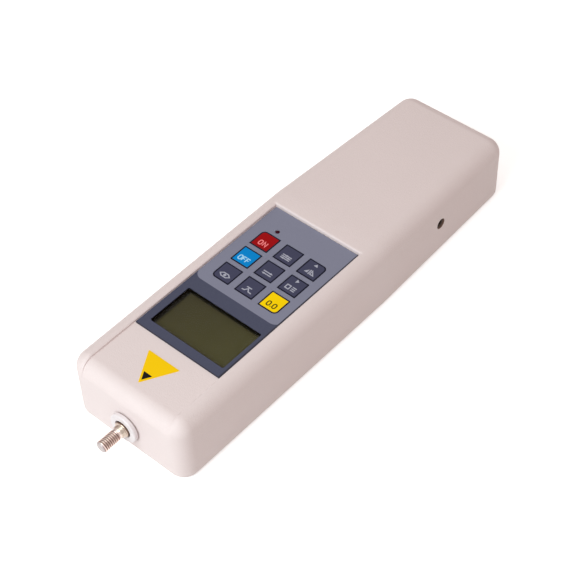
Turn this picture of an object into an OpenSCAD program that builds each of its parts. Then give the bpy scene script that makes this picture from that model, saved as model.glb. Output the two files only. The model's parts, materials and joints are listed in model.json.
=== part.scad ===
// Digital force gauge: a hand-held or stand-mounted push and pull gauge with a threaded
// force stud, a strain-gauge load cell, a display, nine keys and a rechargeable pack.
// Millimetres. The origin is the middle of the base, +Z is up, the stud points along -Y.

/* [Case] */
// Length of the case, without the stud
body_len = 230; // [224:0.5:240]
// Width of the case from the front end to the crown
body_w = 66; // [64:0.5:72]
// How far each side draws in between the crown and the rear end
side_taper = 3.1; // [1:0.1:4.5]
// Height of the case at the front end
front_h = 35.9; // [35:0.1:38]
// Rise of the roof from the front end to the crown, where it starts to taper
crown_rise = 0.9; // [0.5:0.1:2]
// Drop of the roof from the crown to the rear end
rear_drop = 2; // [1:0.1:3]
// Distance from the front end to the crown
crown_from_front = 133.5; // [128:0.5:140]
// Radius of the long upper edges
edge_r = 7.8; // [6.5:0.1:8]
// Radius of the lower edges
base_r = 4; // [3:0.1:5]
// Plan radius of the four corners
corner_r = 8.4; // [8.1:0.1:11]
// Side wall thickness
wall_t = 2.5; // [2:0.1:3]
// Roof thickness, which holds the sunk panel
roof_t = 4; // [3.6:0.1:4.4]
// Width of the flat rim round the base opening, measured from the side
rim_w = 5.6; // [5.2:0.1:6.5]
// Thickness of the base cover and of the rim round it
cover_t = 3; // [2.8:0.1:3.5]
// Gap between a loose part and the part round it
fit_gap = 0.2; // [0.1:0.05:0.3]

/* [Panel] */
// Length of the keypad overlay
overlay_len = 92; // [88:0.5:94]
// Width of the keypad overlay
overlay_w = 49.6; // [48:0.1:50]
// Thickness of the keypad overlay
overlay_t = 0.35; // [0.25:0.05:0.5]
// Distance from the front end of the case to the overlay
overlay_from_front = 32.7; // [31:0.1:34]
// Depth of the sunk panel floor below the roof at the front end
panel_drop = 1.33; // [1.1:0.01:1.5]
// Side of the yellow pointer triangle in front of the overlay
decal_side = 18.2; // [14:0.1:20]
// Distance from the front end to the tip of the pointer triangle
decal_from_front = 9.5; // [8:0.1:12]
// Thickness of the pointer triangle
decal_t = 0.15; // [0.1:0.05:0.3]

/* [Display] */
// Width of the window in the overlay
display_w = 42.9; // [40:0.1:43.5]
// Length of the window in the overlay
display_len = 24.5; // [22:0.1:25]
// Distance from the front edge of the overlay to the window
display_inset = 5; // [4:0.1:6]
// Sideways offset of the window
display_shift = 0.7; // [0:0.1:1]
// Thickness of the clear pane under the overlay
pane_t = 0.8; // [0.6:0.1:1]
// Overlap of the pane under the overlay, each side
pane_lip = 2.2; // [2:0.1:2.3]
// Overlap of the display glass under the overlay, each side
glass_lip = 1.2; // [1:0.1:1.4]
// Thickness of the display glass
glass_t = 2.2; // [1.8:0.1:2.4]
// Depth of the display glass below the top of the overlay
glass_depth = 1.8; // [1.6:0.05:2]

/* [Keys] */
// Side of one key pad
key_size = 10.2; // [9.6:0.1:10.6]
// Distance between key columns
key_pitch_x = 13.85; // [13.4:0.05:14.2]
// Distance between key rows
key_pitch_y = 12.7; // [12.4:0.05:13]
// Distance from the rear edge of the overlay to the rear row of keys
key_row_inset = 20.1; // [19:0.1:21]
// Radius of the outer corners of the key block
key_corner_r = 2.3; // [1.5:0.1:3]
// Travel of a key
key_travel = 0.3; // [0.2:0.05:0.35]
// Gap round a key in the overlay
key_gap = 0.1; // [0.08:0.01:0.2]
// Side of a key switch
switch_size = 6; // [5.5:0.1:7]
// Height of a key switch
switch_h = 3.4; // [3:0.1:3.6]
// Diameter of a switch plunger
plunger_d = 3.2; // [2.6:0.1:3.5]
// Diameter of the status light
light_d = 1.9; // [1.6:0.1:2.4]

/* [Force shaft] */
// Height of the shaft axis above the base
axis_h = 14.85; // [14.4:0.05:15.4]
// Outer diameter of the stud thread
thread_d = 6; // [5:0.5:6]
// Pitch of the stud thread
thread_pitch = 1; // [0.8:0.05:1.1]
// Length of the stud thread
thread_len = 9.75; // [8:0.25:12]
// Length of the stud in front of the case
stud_reach = 15.55; // [15:0.05:18]
// Diameter of the shaft behind the stud
shaft_d = 7.9; // [7.4:0.1:8]
// Diameter of the shaft's tail in the load cell
tail_d = 5; // [4:0.5:5.5]
// Outer diameter of the front collar
collar_d = 14.8; // [14:0.1:17]
// Height of the collar above the front face
collar_proud = 2.55; // [2:0.05:3]
// Bore of the collar
collar_bore = 8.7; // [8.5:0.1:9.2]
// Travel of the shaft each way at full load
shaft_travel = 0.2; // [0.1:0.05:0.25]

/* [Load cell] */
// Length of the load cell along the shaft
cell_len = 44; // [42:0.5:46]
// Width of the load cell
cell_w = 38; // [34:0.5:40]
// Thickness of the load cell
cell_t = 12.7; // [11.5:0.1:12.8]
// Distance from the front end of the case to the load cell
cell_from_front = 19; // [18.5:0.1:20]
// Width of the two slots that free the cell's ends
cell_slot = 1.5; // [1:0.1:2]
// Diameter of the two sensing holes
sense_d = 10; // [8:0.5:10.5]
// Length of the anchor block behind the cell
anchor_len = 12; // [11:0.5:14]
// Thickness of the steel base plate
plate_t = 3; // [2.8:0.1:3.3]
// Length of the steel base plate
plate_len = 90; // [86:1:94]
// Distance from the sides of the case to the stand holes
stand_side = 11.5; // [11.3:0.1:12]
// Distance between the stand holes along the case
stand_y = 50; // [44:1:52]
// Diameter of the tapped stand holes
stand_d = 5; // [4:0.5:5]

/* [Board] */
// Length of the main board
board_len = 96; // [94:0.5:100]
// Distance from the sides of the case to the main board
board_side = 6; // [5.5:0.1:7]
// Thickness of the main board
board_t = 1.6; // [1.2:0.1:1.8]
// Depth of the board's upper face below the panel floor
board_drop = 6.57; // [6.5:0.05:6.8]

/* [Battery] */
// Diameter of one battery cell
cell_d = 10.5; // [10:0.1:10.7]
// Length of one battery cell
battery_len = 44.5; // [43:0.5:46]
// Sideways offset of the battery pack
battery_shift = 5; // [4:0.5:6]

/* [Charging socket] */
// Height of the socket axis above the base
jack_h = 19.3; // [18:0.1:20]
// Diameter of the hole in the case side
jack_hole_d = 5.4; // [5:0.1:6]
// Bore of the socket
jack_bore_d = 3.6; // [3:0.1:4]

/* [Hidden] */
$fn = 48;

// Ends of the case and the crown along Y
front_y = -body_len / 2;
rear_y = body_len / 2;
crown_y = front_y + crown_from_front;
rear_w = body_w - 2 * side_taper;
crown_h = front_h + crown_rise;
rear_h = crown_h - rear_drop;
// One overrun serves every cut
cut = 1;
// Facets of the skin: corner, upper edge and lower edge segments
corner_steps = 8;
edge_steps = 8;
base_steps = 5;
// Running gap between turned parts
turn_gap = 0.05;

// Height of the roof at a place along the case
function roof_z(y) = y < crown_y
    ? front_h + (crown_h - front_h) * (y - front_y) / crown_from_front
    : crown_h + (rear_h - crown_h) * (y - crown_y) / (rear_y - crown_y);
// Half width of the case at a place along it
function half_w(y) = body_w / 2 - side_taper * max(0, (y - crown_y) / (rear_y - corner_r - crown_y));

// Panel levels and places
floor_z = front_h - panel_drop;
overlay_y = front_y + overlay_from_front;
overlay_rear_y = overlay_y + overlay_len;
recess_w = overlay_w + 2 * fit_gap;
// The roll-off runs this far past the front face, so that it fades out there
roll_over = 0.12;
display_y = overlay_y + display_inset + display_len / 2;
glass_z = floor_z + overlay_t - glass_depth;
key_rear_y = overlay_rear_y - key_row_inset;
key_shift = 0.2;
// Room under a pressed key
key_room = 0.15;
pocket_depth = key_travel + key_room;
light_x = -(key_pitch_x - key_shift * 2);
light_y = key_rear_y + key_size * 0.8;

// Board levels
board_z = floor_z - board_drop;
board_y = overlay_y - switch_size / 3;
board_w = body_w - 2 * board_side;
board_end = board_y + board_len;
board_hole_inset = 3;
board_screw_d = 2.5;
board_boss_d = 5;

// Case bosses and screws
boss_d = 7;
boss_inset = 9.5;
screw_d = 3;
head_d = 5.6;
head_h = 1.6;
case_screw_len = 12;
front_boss_y = front_y + wall_t + boss_d;
rear_boss_y = rear_y - wall_t - boss_d - corner_r / 8;
rib_t = 1.5;

// Shaft places
tip_y = front_y - stud_reach;
thread_end_y = tip_y + thread_len;
shoulder_proud = 0.9;
shoulder_y = front_y - collar_proud - shoulder_proud;
cell_y = front_y + cell_from_front;
nut_af = tail_d * 1.6;
nut_t = tail_d * 0.8;
nut_y = cell_y - shaft_travel - key_room - nut_t;
tail_len = 8;
thread_depth = 0.55;

// Load cell, anchor and base plate places
plate_top = cover_t + plate_t;
plate_y = cell_y - wall_t * 1.6;
anchor_y = cell_y + cell_len;
anchor_w = 30;
anchor_top = axis_h + cell_t / 2;
anchor_bolt_d = 5;
anchor_screw_d = 4;
anchor_head_d = 7.6;
anchor_head_h = 2.2;
cell_bar = 9;
stand_mid_y = cell_y + cell_len * 0.7;
stand_x = body_w - 2 * stand_side;
plate_w = stand_x + stand_d + wall_t * 0.8;
// The middle bosses stand just behind the base plate
mid_boss_y = plate_y + plate_len + boss_d * 0.95;
case_boss_y = [front_boss_y, mid_boss_y, rear_boss_y];
cover_hole_d = stand_d + 1;

// Battery places
pack_pitch = cell_d + fit_gap;
pack_x = -battery_shift;
tray_t = 1.5;
tray_w = 3 * pack_pitch + 2 * tray_t + fit_gap;
tray_len = battery_len + 2 * tray_t + 4 * fit_gap;
// The tray stands between the board's end and the rear bosses, at this share of the free length
tray_place_share = 0.56;
tray_y = board_end + (rear_boss_y - boss_d / 2 - board_end - tray_len) * tray_place_share;
pack_y = tray_y + (tray_len - battery_len) / 2;
tray_wall = 8;
link_t = 0.2;
pack_top = cover_t + tray_t + 2 * pack_pitch;

// Socket places
jack_place_share = 0.45;
jack_y = crown_y + (rear_y - crown_y) * jack_place_share;
jack_x = half_w(jack_y);
jack_size = 9;
jack_len = 12;
jack_face = 0.6;

// Plan outline of the case, drawn in by inset, counted counter-clockwise from the front right
function corner_pts(x, y, r, start) = [
    for (i = [0 : corner_steps])
        let (a = start + 90 * i / corner_steps) [x + r * cos(a), y + r * sin(a)]
];
function outline(inset) =
    let (
        r = corner_r - inset,
        fx = body_w / 2 - corner_r,
        rx = rear_w / 2 - corner_r,
        fy = front_y + corner_r,
        ry = rear_y - corner_r
    )
    concat(
        corner_pts(fx, fy, r, -90),
        [[body_w / 2 - inset, crown_y]],
        corner_pts(rx, ry, r, 0),
        corner_pts(-rx, ry, r, 90),
        [[-body_w / 2 + inset, crown_y]],
        corner_pts(-fx, fy, r, 180)
    );

// One ring of the skin: height is added to the base level or to the roof
function base_ring(inset, z) = [for (p = outline(inset)) [p.x, p.y, z]];
function roof_ring(inset, drop) = [for (p = outline(inset)) [p.x, p.y, roof_z(p.y) - drop]];

// Closed skin with rounded edges, drawn in by side, roof and base
module skin(side, roof, base) {
    upper_r = edge_r - side;
    lower_r = max(base_r - side, wall_t / 2);
    rings = concat(
        [for (i = [0 : base_steps])
            let (a = 90 * i / base_steps)
            base_ring(side + lower_r * (1 - sin(a)), base + lower_r * (1 - cos(a)))],
        [for (i = [0 : edge_steps])
            let (a = 90 * i / edge_steps)
            roof_ring(side + upper_r * (1 - cos(a)), roof + upper_r * (1 - sin(a)))]
    );
    n = len(rings[0]);
    last = (len(rings) - 1) * n;
    walls = [
        for (k = [0 : len(rings) - 2], i = [0 : n - 1])
            let (a = k * n + i, b = k * n + (i + 1) % n)
            each [[a, a + n, b], [b, a + n, b + n]]
    ];
    caps = [
        for (i = [0 : n / 2 - 2])
            let (l = n - 1 - i)
            each [
                [i, i + 1, l], [i + 1, l - 1, l],
                [last + i, last + l, last + i + 1], [last + i + 1, last + l, last + l - 1]
            ]
    ];
    polyhedron([for (r = rings) each r], concat(walls, caps));
}

// Flat plan shape with the case's taper, drawn in by inset, up to the height z
module plan_plate(inset, z) {
    linear_extrude(z) polygon(outline(inset));
}

// Panel floor, open above and rolled off over the front edge
module panel_recess() {
    depth = overlay_rear_y + fit_gap - front_y + cut;
    translate([recess_w / 2, 0, 0]) rotate([0, -90, 0]) linear_extrude(recess_w)
        difference() {
            translate([floor_z - edge_r, front_y - cut]) square([crown_h, depth]);
            translate([0, front_y + edge_r - roll_over]) square([floor_z, depth]);
            translate([floor_z - edge_r, front_y + edge_r - roll_over]) circle(edge_r);
        }
}

function key_x(i) = key_shift + (i - 1) * key_pitch_x;
function key_y(j) = key_rear_y - j * key_pitch_y;

// Pad shape of the key in column i and row j, grown by g, with the block's outer corner rounded
module key_shape(i, j, g) {
    s = key_size + 2 * g;
    r = key_corner_r + g;
    sx = i - 1;
    sy = 1 - j;
    difference() {
        square(s, center = true);
        if (sx != 0 && sy != 0)
            translate([sx * (s / 2 - r / 2), sy * (s / 2 - r / 2)]) difference() {
                translate([sx * cut / 2, sy * cut / 2]) square(r + cut, center = true);
                translate([-sx * r / 2, -sy * r / 2]) circle(r);
            }
    }
}

module at_keys() {
    for (i = [0 : 2], j = [0 : 2]) translate([key_x(i), key_y(j), 0]) children();
}

// A bolt or shaft lying along +Y from y
module along_y(x, y, z) { translate([x, y, z]) rotate([-90, 0, 0]) children(); }

module at_case_screws() {
    for (y = case_boss_y, s = [-1, 1]) translate([s * (half_w(y) - boss_inset), y, 0]) children();
}

plate_screw_x = anchor_w * 0.4;
plate_screw_y = [plate_y + head_d, plate_y + plate_len - head_d];
module at_plate_screws() {
    for (y = plate_screw_y, s = [-1, 1]) translate([s * plate_screw_x, y, 0]) children();
}

module at_stand_holes() {
    for (y = [-1, 1], s = [-1, 1])
        translate([s * stand_x / 2, stand_mid_y + y * stand_y / 2, 0]) children();
}

// The rear board screws lie just in front of the middle bosses
board_holes_y = [board_y + board_hole_inset, mid_boss_y - boss_d];
module at_board_screws() {
    for (y = board_holes_y, s = [-1, 1])
        translate([s * (board_w / 2 - board_hole_inset), y, board_z]) children();
}

module at_anchor_screws() {
    for (s = [-1, 1]) translate([s * anchor_w * 0.3, anchor_y + anchor_len / 2, cover_t]) children();
}

tray_ear = 7;
module at_tray_screws() {
    for (s = [-1, 1])
        translate([pack_x, tray_y + tray_len / 2 + s * (tray_len + tray_ear) / 2, cover_t])
            children();
}

// Countersunk screw with its head at the bottom, pointing up
module flat_screw(d, l, hd, hh) {
    slot = d * 0.22;
    difference() {
        union() {
            cylinder(d1 = hd, d2 = d, h = hh);
            cylinder(d = d, h = l);
        }
        for (a = [0, 90]) rotate(a)
            translate([-d * 0.45, -slot / 2, -cut]) cube([d * 0.9, slot, cut + hh * 0.6]);
    }
}

// Hole for a countersunk screw, grown by a gap
module flat_screw_hole(d, l, hd, hh) {
    translate([0, 0, -cut]) cylinder(d = hd + 2 * turn_gap, h = cut + turn_gap);
    translate([0, 0, turn_gap]) cylinder(d1 = hd + 2 * turn_gap, d2 = d + 2 * turn_gap, h = hh);
    cylinder(d = d + 2 * turn_gap, h = l);
}

// Pan-head screw with its head on top of z = 0, pointing down
module pan_screw(d, l) {
    slot = d * 0.2;
    difference() {
        union() {
            cylinder(d = d * 1.9, h = d * 0.6);
            translate([0, 0, -l]) cylinder(d = d, h = l);
        }
        for (a = [0, 90]) rotate(a)
            translate([-d * 0.55, -slot / 2, d * 0.25]) cube([d * 1.1, slot, d]);
    }
}

function unit(v) = v / norm(v);
// Route with each corner eased over the length b of both its legs
function eased(pts, b) = concat(
    [pts[0]],
    [for (i = [1 : len(pts) - 2])
        let (
            p = pts[i],
            u = pts[i - 1] - p,
            v = pts[i + 1] - p,
            bu = unit(u) * min(b, norm(u) / 2.5),
            bv = unit(v) * min(b, norm(v) / 2.5)
        )
        each [p + bu, p + (bu + bv) / 4, p + bv]],
    [pts[len(pts) - 1]]
);
// Side vectors carried along the tangents t without twist
function sides(t, i, s) = i == len(t) ? [] :
    let (q = unit(s - (s * t[i]) * t[i])) concat([q], sides(t, i + 1, q));

// Round wire along a route, with its corners eased
wire_sides = 8;
module wire(route, d) {
    pts = eased(route, d * 3);
    last = len(pts) - 1;
    t = [for (i = [0 : last]) i == 0 ? unit(pts[1] - pts[0])
        : i == last ? unit(pts[last] - pts[last - 1])
        : unit(unit(pts[i + 1] - pts[i]) + unit(pts[i] - pts[i - 1]))];
    s = sides(t, 0, [0.3, 0.5, 0.8]);
    n = wire_sides;
    verts = [for (i = [0 : last], k = [0 : n - 1])
        let (a = 360 * (k + 0.5) / n)
        pts[i] + (s[i] * cos(a) + cross(t[i], s[i]) * sin(a)) * d / 2];
    walls = [for (i = [0 : last - 1], k = [0 : n - 1])
        let (a = i * n + k, b = i * n + (k + 1) % n)
        each [[a, a + n, b], [b, a + n, b + n]]];
    ends = [for (k = [1 : n - 2])
        each [[0, k, k + 1], [last * n, last * n + k + 1, last * n + k]]];
    polyhedron(verts, concat(walls, ends));
}

// Case: the shell, its panel, openings, screw bosses and the cradle of the socket

module case_bosses() {
    reach = roof_t / 2;
    for (y = case_boss_y, s = [-1, 1]) translate([s * (half_w(y) - boss_inset), y, cover_t]) {
        boss_h = roof_z(y) - cover_t - reach;
        cylinder(d = boss_d, h = boss_h);
        // Rib from the boss to the side wall, below the rounded edge
        translate([s > 0 ? 0 : -boss_inset + wall_t / 2, -rib_t / 2, boss_h / 3])
            cube([boss_inset - wall_t / 2, rib_t, boss_h - boss_h / 3 - edge_r]);
    }
    for (y = board_holes_y, s = [-1, 1])
        translate([s * (board_w / 2 - board_hole_inset), y, board_z])
            cylinder(d = board_boss_d, h = roof_z(y) - board_z - reach);
}

module jack_cradle() {
    x0 = jack_x - wall_t - jack_len;
    z0 = jack_h - jack_size / 2;
    top = roof_z(jack_y) - edge_r;
    for (s = [-1, 1])
        translate([x0, jack_y + s * (jack_size / 2 + fit_gap + rib_t / 2) - rib_t / 2, z0])
            cube([jack_len + wall_t / 2, rib_t, top - z0]);
    translate([x0, jack_y - jack_size / 2 - fit_gap - rib_t, jack_h + jack_size / 2 + fit_gap])
        cube([jack_len + wall_t / 2, jack_size + 2 * fit_gap + 2 * rib_t,
              top - jack_h - jack_size / 2 - fit_gap]);
}

module upper_case() {
    spigot_r = collar_bore / 2 + rib_t;
    color("#d9ccc8") difference() {
        union() {
            difference() {
                skin(0, 0, 0);
                skin(wall_t, roof_t, cover_t);
                translate([0, 0, -cut]) plan_plate(rim_w, cover_t + cut + wall_t);
            }
            case_bosses();
            jack_cradle();
        }
        panel_recess();
        // Pane seat and display opening
        translate([display_shift, display_y, floor_z + (cut - pane_t) / 2])
            cube([display_w + 2 * pane_lip + fit_gap, display_len + 2 * pane_lip + fit_gap,
                  pane_t + cut], center = true);
        translate([display_shift, display_y, glass_z - glass_t])
            cube([display_w + 2 * glass_lip + 2 * fit_gap, display_len + 2 * glass_lip + 2 * fit_gap,
                  roof_t * 2], center = true);
        // Key pockets and plunger holes
        for (i = [0 : 2], j = [0 : 2]) translate([key_x(i), key_y(j), 0]) {
            translate([0, 0, floor_z - pocket_depth]) linear_extrude(pocket_depth + cut)
                key_shape(i, j, key_gap);
            translate([0, 0, board_z]) cylinder(d = plunger_d + 3 * fit_gap, h = board_drop);
        }
        translate([light_x, light_y, board_z]) cylinder(d = light_d + fit_gap, h = board_drop + cut);
        // Collar hole, socket hole and screw bores
        along_y(0, front_y - cut, axis_h) cylinder(r = spigot_r + turn_gap, h = wall_t + 2 * cut);
        translate([jack_x - wall_t - cut, jack_y, jack_h]) rotate([0, 90, 0])
            cylinder(d = jack_hole_d, h = wall_t + 2 * cut);
        at_case_screws() translate([0, 0, cover_t - cut])
            cylinder(d = screw_d + 2 * turn_gap, h = case_screw_len + cut);
        at_board_screws() translate([0, 0, -cut])
            cylinder(d = board_screw_d + 2 * turn_gap, h = roof_t + cut);
    }
}

module base_cover() {
    color("#cfc3bf") difference() {
        plan_plate(rim_w + fit_gap, cover_t);
        at_case_screws() flat_screw_hole(screw_d, cover_t + cut, head_d, head_h);
        at_plate_screws() flat_screw_hole(screw_d, cover_t + cut, head_d, head_h);
        at_stand_holes() translate([0, 0, -cut]) cylinder(d = cover_hole_d, h = cover_t + 2 * cut);
        at_tray_screws() translate([0, 0, -tray_t])
            cylinder(d = board_screw_d + 2 * turn_gap, h = tray_t + cut);
    }
}

module case_screws() {
    color("silver") at_case_screws() flat_screw(screw_d, case_screw_len, head_d, head_h);
}

// Front collar, pressed into the front wall, and the ring that keeps it from inside

module front_collar() {
    spigot_r = collar_bore / 2 + rib_t;
    color("#f0eaee") along_y(0, front_y - collar_proud, axis_h) rotate_extrude() {
        polygon([
            [collar_bore / 2, 0], [collar_d / 2 - rib_t / 3, 0], [collar_d / 2, rib_t / 3],
            [collar_d / 2, collar_proud], [spigot_r, collar_proud],
            [spigot_r, collar_proud + wall_t + rib_t], [collar_bore / 2, collar_proud + wall_t + rib_t]
        ]);
    }
}

module collar_ring() {
    spigot_r = collar_bore / 2 + rib_t;
    color("dimgray") along_y(0, front_y + wall_t, axis_h) difference() {
        cylinder(d = collar_d, h = rib_t);
        translate([0, 0, -cut]) cylinder(r = spigot_r + turn_gap, h = rib_t + 2 * cut);
    }
}

// Panel: overlay, pointer, pane, display and keys

module keypad_overlay() {
    color("#7d7f91") translate([0, 0, floor_z]) linear_extrude(overlay_t) difference() {
        translate([-overlay_w / 2, overlay_y]) square([overlay_w, overlay_len]);
        translate([display_shift, display_y]) square([display_w, display_len], center = true);
        for (i = [0 : 2], j = [0 : 2]) translate([key_x(i), key_y(j)]) key_shape(i, j, key_gap);
        translate([light_x, light_y]) circle(d = light_d + fit_gap);
    }
}

module pointer_decal() {
    tip = front_y + decal_from_front;
    color("#facd00") translate([0, tip, floor_z]) linear_extrude(decal_t)
        polygon([[0, 0], [decal_side / 2, decal_side * sin(60)], [-decal_side / 2, decal_side * sin(60)]]);
}

module display_window() {
    color([0.8, 0.85, 0.85, 0.4]) translate([display_shift, display_y, floor_z - pane_t / 2])
        cube([display_w + 2 * pane_lip, display_len + 2 * pane_lip, pane_t], center = true);
}

module lcd_glass() {
    color("#48462d") translate([display_shift, display_y, glass_z - glass_t / 2])
        cube([display_w + 2 * glass_lip, display_len + 2 * glass_lip, glass_t], center = true);
}

strip_w = 2;
backlight_h = glass_z - glass_t - board_z;
module lcd_backlight() {
    color("white") translate([display_shift, display_y, board_z + backlight_h / 2])
        cube([display_w + glass_lip, display_len + 2 * glass_lip - 2 * strip_w - fit_gap * 2,
              backlight_h], center = true);
}

module contact_strips() {
    color("#333333") for (s = [-1, 1])
        translate([display_shift, display_y + s * (display_len / 2 + glass_lip - strip_w / 2),
                   board_z + backlight_h / 2])
            cube([display_w, strip_w, backlight_h], center = true);
}

module key_pad(i, j, c) {
    color(c) translate([key_x(i), key_y(j), floor_z]) linear_extrude(overlay_t) key_shape(i, j, 0);
}
module plunger(i, j) {
    foot_z = board_z + switch_h / 2;
    color("#dddddd") translate([key_x(i), key_y(j), foot_z]) cylinder(d = plunger_d, h = floor_z - foot_z);
}

module switch_bodies() {
    color("#222222") at_keys() translate([0, 0, board_z]) difference() {
        translate([-switch_size / 2, -switch_size / 2, 0]) cube([switch_size, switch_size, switch_h]);
        translate([0, 0, switch_h / 2 - pocket_depth]) cylinder(d = plunger_d + fit_gap, h = switch_h);
    }
}

// Board and what it carries

module main_board() {
    color("darkgreen") difference() {
        translate([-board_w / 2, board_y, board_z - board_t]) cube([board_w, board_len, board_t]);
        at_board_screws() translate([0, 0, -board_t - cut])
            cylinder(d = board_screw_d + 2 * fit_gap, h = board_t + 2 * cut);
        // Notches round the middle case bosses
        for (s = [-1, 1]) translate([s * body_w / 2, mid_boss_y, board_z - board_t / 2])
            cube([2 * boss_inset + boss_d + 4 * fit_gap, boss_d + 4 * fit_gap, board_t + 2 * cut],
                 center = true);
    }
}

// A block under the board, its centre given as shares of the board
module under_board(x_share, y_share, size) {
    translate([x_share * board_w - size.x / 2, board_y + y_share * board_len - size.y / 2,
               board_z - board_t - size.z]) cube(size);
}

// The largest chip, then each chip's centre as shares of the board and size as shares of it
chip_size = [12, 12, 1.6];
chip_shares = [
    [-0.1, 0.62, [1, 1, 1]],
    [0.22, 0.5, [0.6, 0.8, 1.3]],
    [-0.3, 0.5, [0.4, 0.5, 1]],
    [0.05, 0.8, [0.75, 0.5, 1]],
    [-0.3, 0.75, [0.35, 0.8, 2]]
];
module board_chips() {
    color("#1c1c1e") for (c = chip_shares)
        under_board(c[0], c[1], [for (k = [0 : 2]) c[2][k] * chip_size[k]]);
}

plug_size = [8, 6, 5];
plug_x_share = 0.25;
plug_y_share = 0.93;
module board_connectors() {
    color("ivory") for (s = [-1 : 1]) under_board(s * plug_x_share, plug_y_share, plug_size);
}

buzzer_d = 9;
buzzer_h = 5.5;
buzzer_x = board_w * 0.25;
buzzer_y = board_y + board_len * 0.7;
module buzzer() {
    color("#111111") translate([buzzer_x, buzzer_y, board_z - board_t - buzzer_h]) difference() {
        cylinder(d = buzzer_d, h = buzzer_h);
        translate([0, 0, -cut]) cylinder(d = buzzer_d / 6, h = cut + buzzer_h / 3);
    }
}

module board_screws() {
    color("silver") at_board_screws() translate([0, 0, -board_t]) rotate([180, 0, 0])
        pan_screw(board_screw_d, board_t + roof_t - key_room);
}

led_h = 1;
module status_led() {
    color("darkred") translate([light_x, light_y, board_z + led_h / 2])
        cube([light_d, light_d, led_h], center = true);
}
module light_pipe() {
    top = floor_z + overlay_t - fit_gap / 2;
    color("#7a1420") translate([light_x, light_y, board_z + led_h])
        cylinder(d = light_d, h = top - board_z - led_h);
}

// Force shaft and load path

// Half section of the stud thread: rings with flat crests, from the tip towards the shaft
function thread_pts() = [
    for (i = [0 : floor(thread_len / thread_pitch) - 1])
        let (y = thread_pitch * (i + 0.5), r = thread_d / 2, q = thread_pitch / 8)
        each [[r, y - q * 2], [r, y + q], [r - thread_depth, y + q * 4], [r - thread_depth, y + q * 5]]
];

module force_shaft() {
    r = thread_d / 2;
    neck_r = r - thread_depth;
    neck = shoulder_y - thread_end_y;
    shaft_end = nut_y - tip_y;
    tail_end = cell_y + tail_len - tip_y;
    color("#b9afa6") along_y(0, tip_y, axis_h) rotate_extrude() polygon(concat(
        [[0, 0], [neck_r, 0]],
        thread_pts(),
        [
            [neck_r, thread_len], [r, thread_len + neck / 3], [r, thread_len + neck],
            [shaft_d / 2 - key_room, thread_len + neck], [shaft_d / 2, thread_len + neck + key_room],
            [shaft_d / 2, shaft_end], [tail_d / 2, shaft_end], [tail_d / 2, tail_end], [0, tail_end]
        ]
    ));
}

module shaft_lock_nut() {
    color("#a9a6a1") along_y(0, nut_y, axis_h) difference() {
        intersection() {
            cylinder(d = nut_af / cos(30), h = nut_t, $fn = 6);
            cylinder(d1 = nut_af * 1.08, d2 = nut_af * 1.6, h = nut_t);
        }
        translate([0, 0, -cut]) cylinder(d = tail_d + 2 * turn_gap, h = nut_t + 2 * cut);
    }
}

module load_cell() {
    mid = cell_y + cell_len / 2;
    color("#c4c6ca") difference() {
        translate([-cell_w / 2, cell_y, axis_h - cell_t / 2]) cube([cell_w, cell_len, cell_t]);
        // The two slots leave the end bars joined at opposite sides
        translate([-cell_w / 2 - cut, cell_y + cell_bar, axis_h - cell_t])
            cube([cell_w * 0.7 + cut, cell_slot, 2 * cell_t]);
        translate([-cell_w * 0.2, cell_y + cell_len - cell_bar - cell_slot, axis_h - cell_t])
            cube([cell_w * 0.7 + cut, cell_slot, 2 * cell_t]);
        // Sensing holes, joined by a slit
        for (s = [-1, 1]) translate([s * sense_d * 0.75, mid, axis_h - cell_t])
            cylinder(d = sense_d, h = 2 * cell_t);
        translate([-sense_d * 0.75, mid - cell_slot / 2, axis_h - cell_t])
            cube([sense_d * 1.5, cell_slot, 2 * cell_t]);
        // Shaft bore and anchor bore
        along_y(0, cell_y - cut, axis_h)
            cylinder(d = tail_d + 2 * turn_gap, h = tail_len + shaft_travel + key_room + cut);
        along_y(0, cell_y + cell_len - cell_bar, axis_h)
            cylinder(d = anchor_bolt_d + 2 * turn_gap, h = cell_bar + cut);
    }
}

gauge_t = 0.2;
gauge_size = [6, 3.5];
module strain_gauges() {
    mid = cell_y + cell_len / 2;
    color("#c98a3c") for (sx = [-1, 1], sy = [-1, 1])
        translate([sx * sense_d * 0.75 - gauge_size.x / 2,
                   mid + sy * (sense_d / 2 + gauge_size.y * 0.6) - gauge_size.y / 2,
                   axis_h + cell_t / 2])
            cube([gauge_size.x, gauge_size.y, gauge_t]);
}

cable_d = 2.4;
cable_x = -plug_x_share * board_w;
plug_bottom_z = board_z - board_t - plug_size.z;
plug_y = board_y + plug_y_share * board_len;
wire_drop_z = plug_bottom_z - cable_d * 2;
module cell_cable() {
    level = anchor_top + cable_d / 2 + turn_gap;
    edge_y = anchor_y + anchor_len + cable_d * 3;
    color("#5a5a60") wire([
        [cable_x, anchor_y - cell_bar, level], [cable_x, edge_y, level],
        [cable_x, edge_y + cable_d * 2, wire_drop_z], [cable_x, plug_y, wire_drop_z],
        [cable_x, plug_y, plug_bottom_z]
    ], cable_d);
}

module anchor_block() {
    color("#8f9296") difference() {
        translate([-anchor_w / 2, anchor_y, plate_top]) cube([anchor_w, anchor_len, anchor_top - plate_top]);
        along_y(0, anchor_y - cut, axis_h)
            cylinder(d = anchor_bolt_d + 2 * turn_gap, h = anchor_len + 2 * cut);
        at_anchor_screws() cylinder(d = anchor_screw_d + 2 * turn_gap, h = plate_t + anchor_screw_d * 2);
    }
}

module anchor_bolt() {
    l = anchor_len + cell_bar - key_room;
    color("#6d7074") along_y(0, anchor_y + anchor_len - l, axis_h) difference() {
        union() {
            cylinder(d = anchor_bolt_d, h = l);
            translate([0, 0, l]) cylinder(d = anchor_bolt_d * 1.65, h = anchor_bolt_d);
        }
        translate([0, 0, l + anchor_bolt_d / 2]) cylinder(d = anchor_bolt_d, h = anchor_bolt_d, $fn = 6);
    }
}

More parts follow.
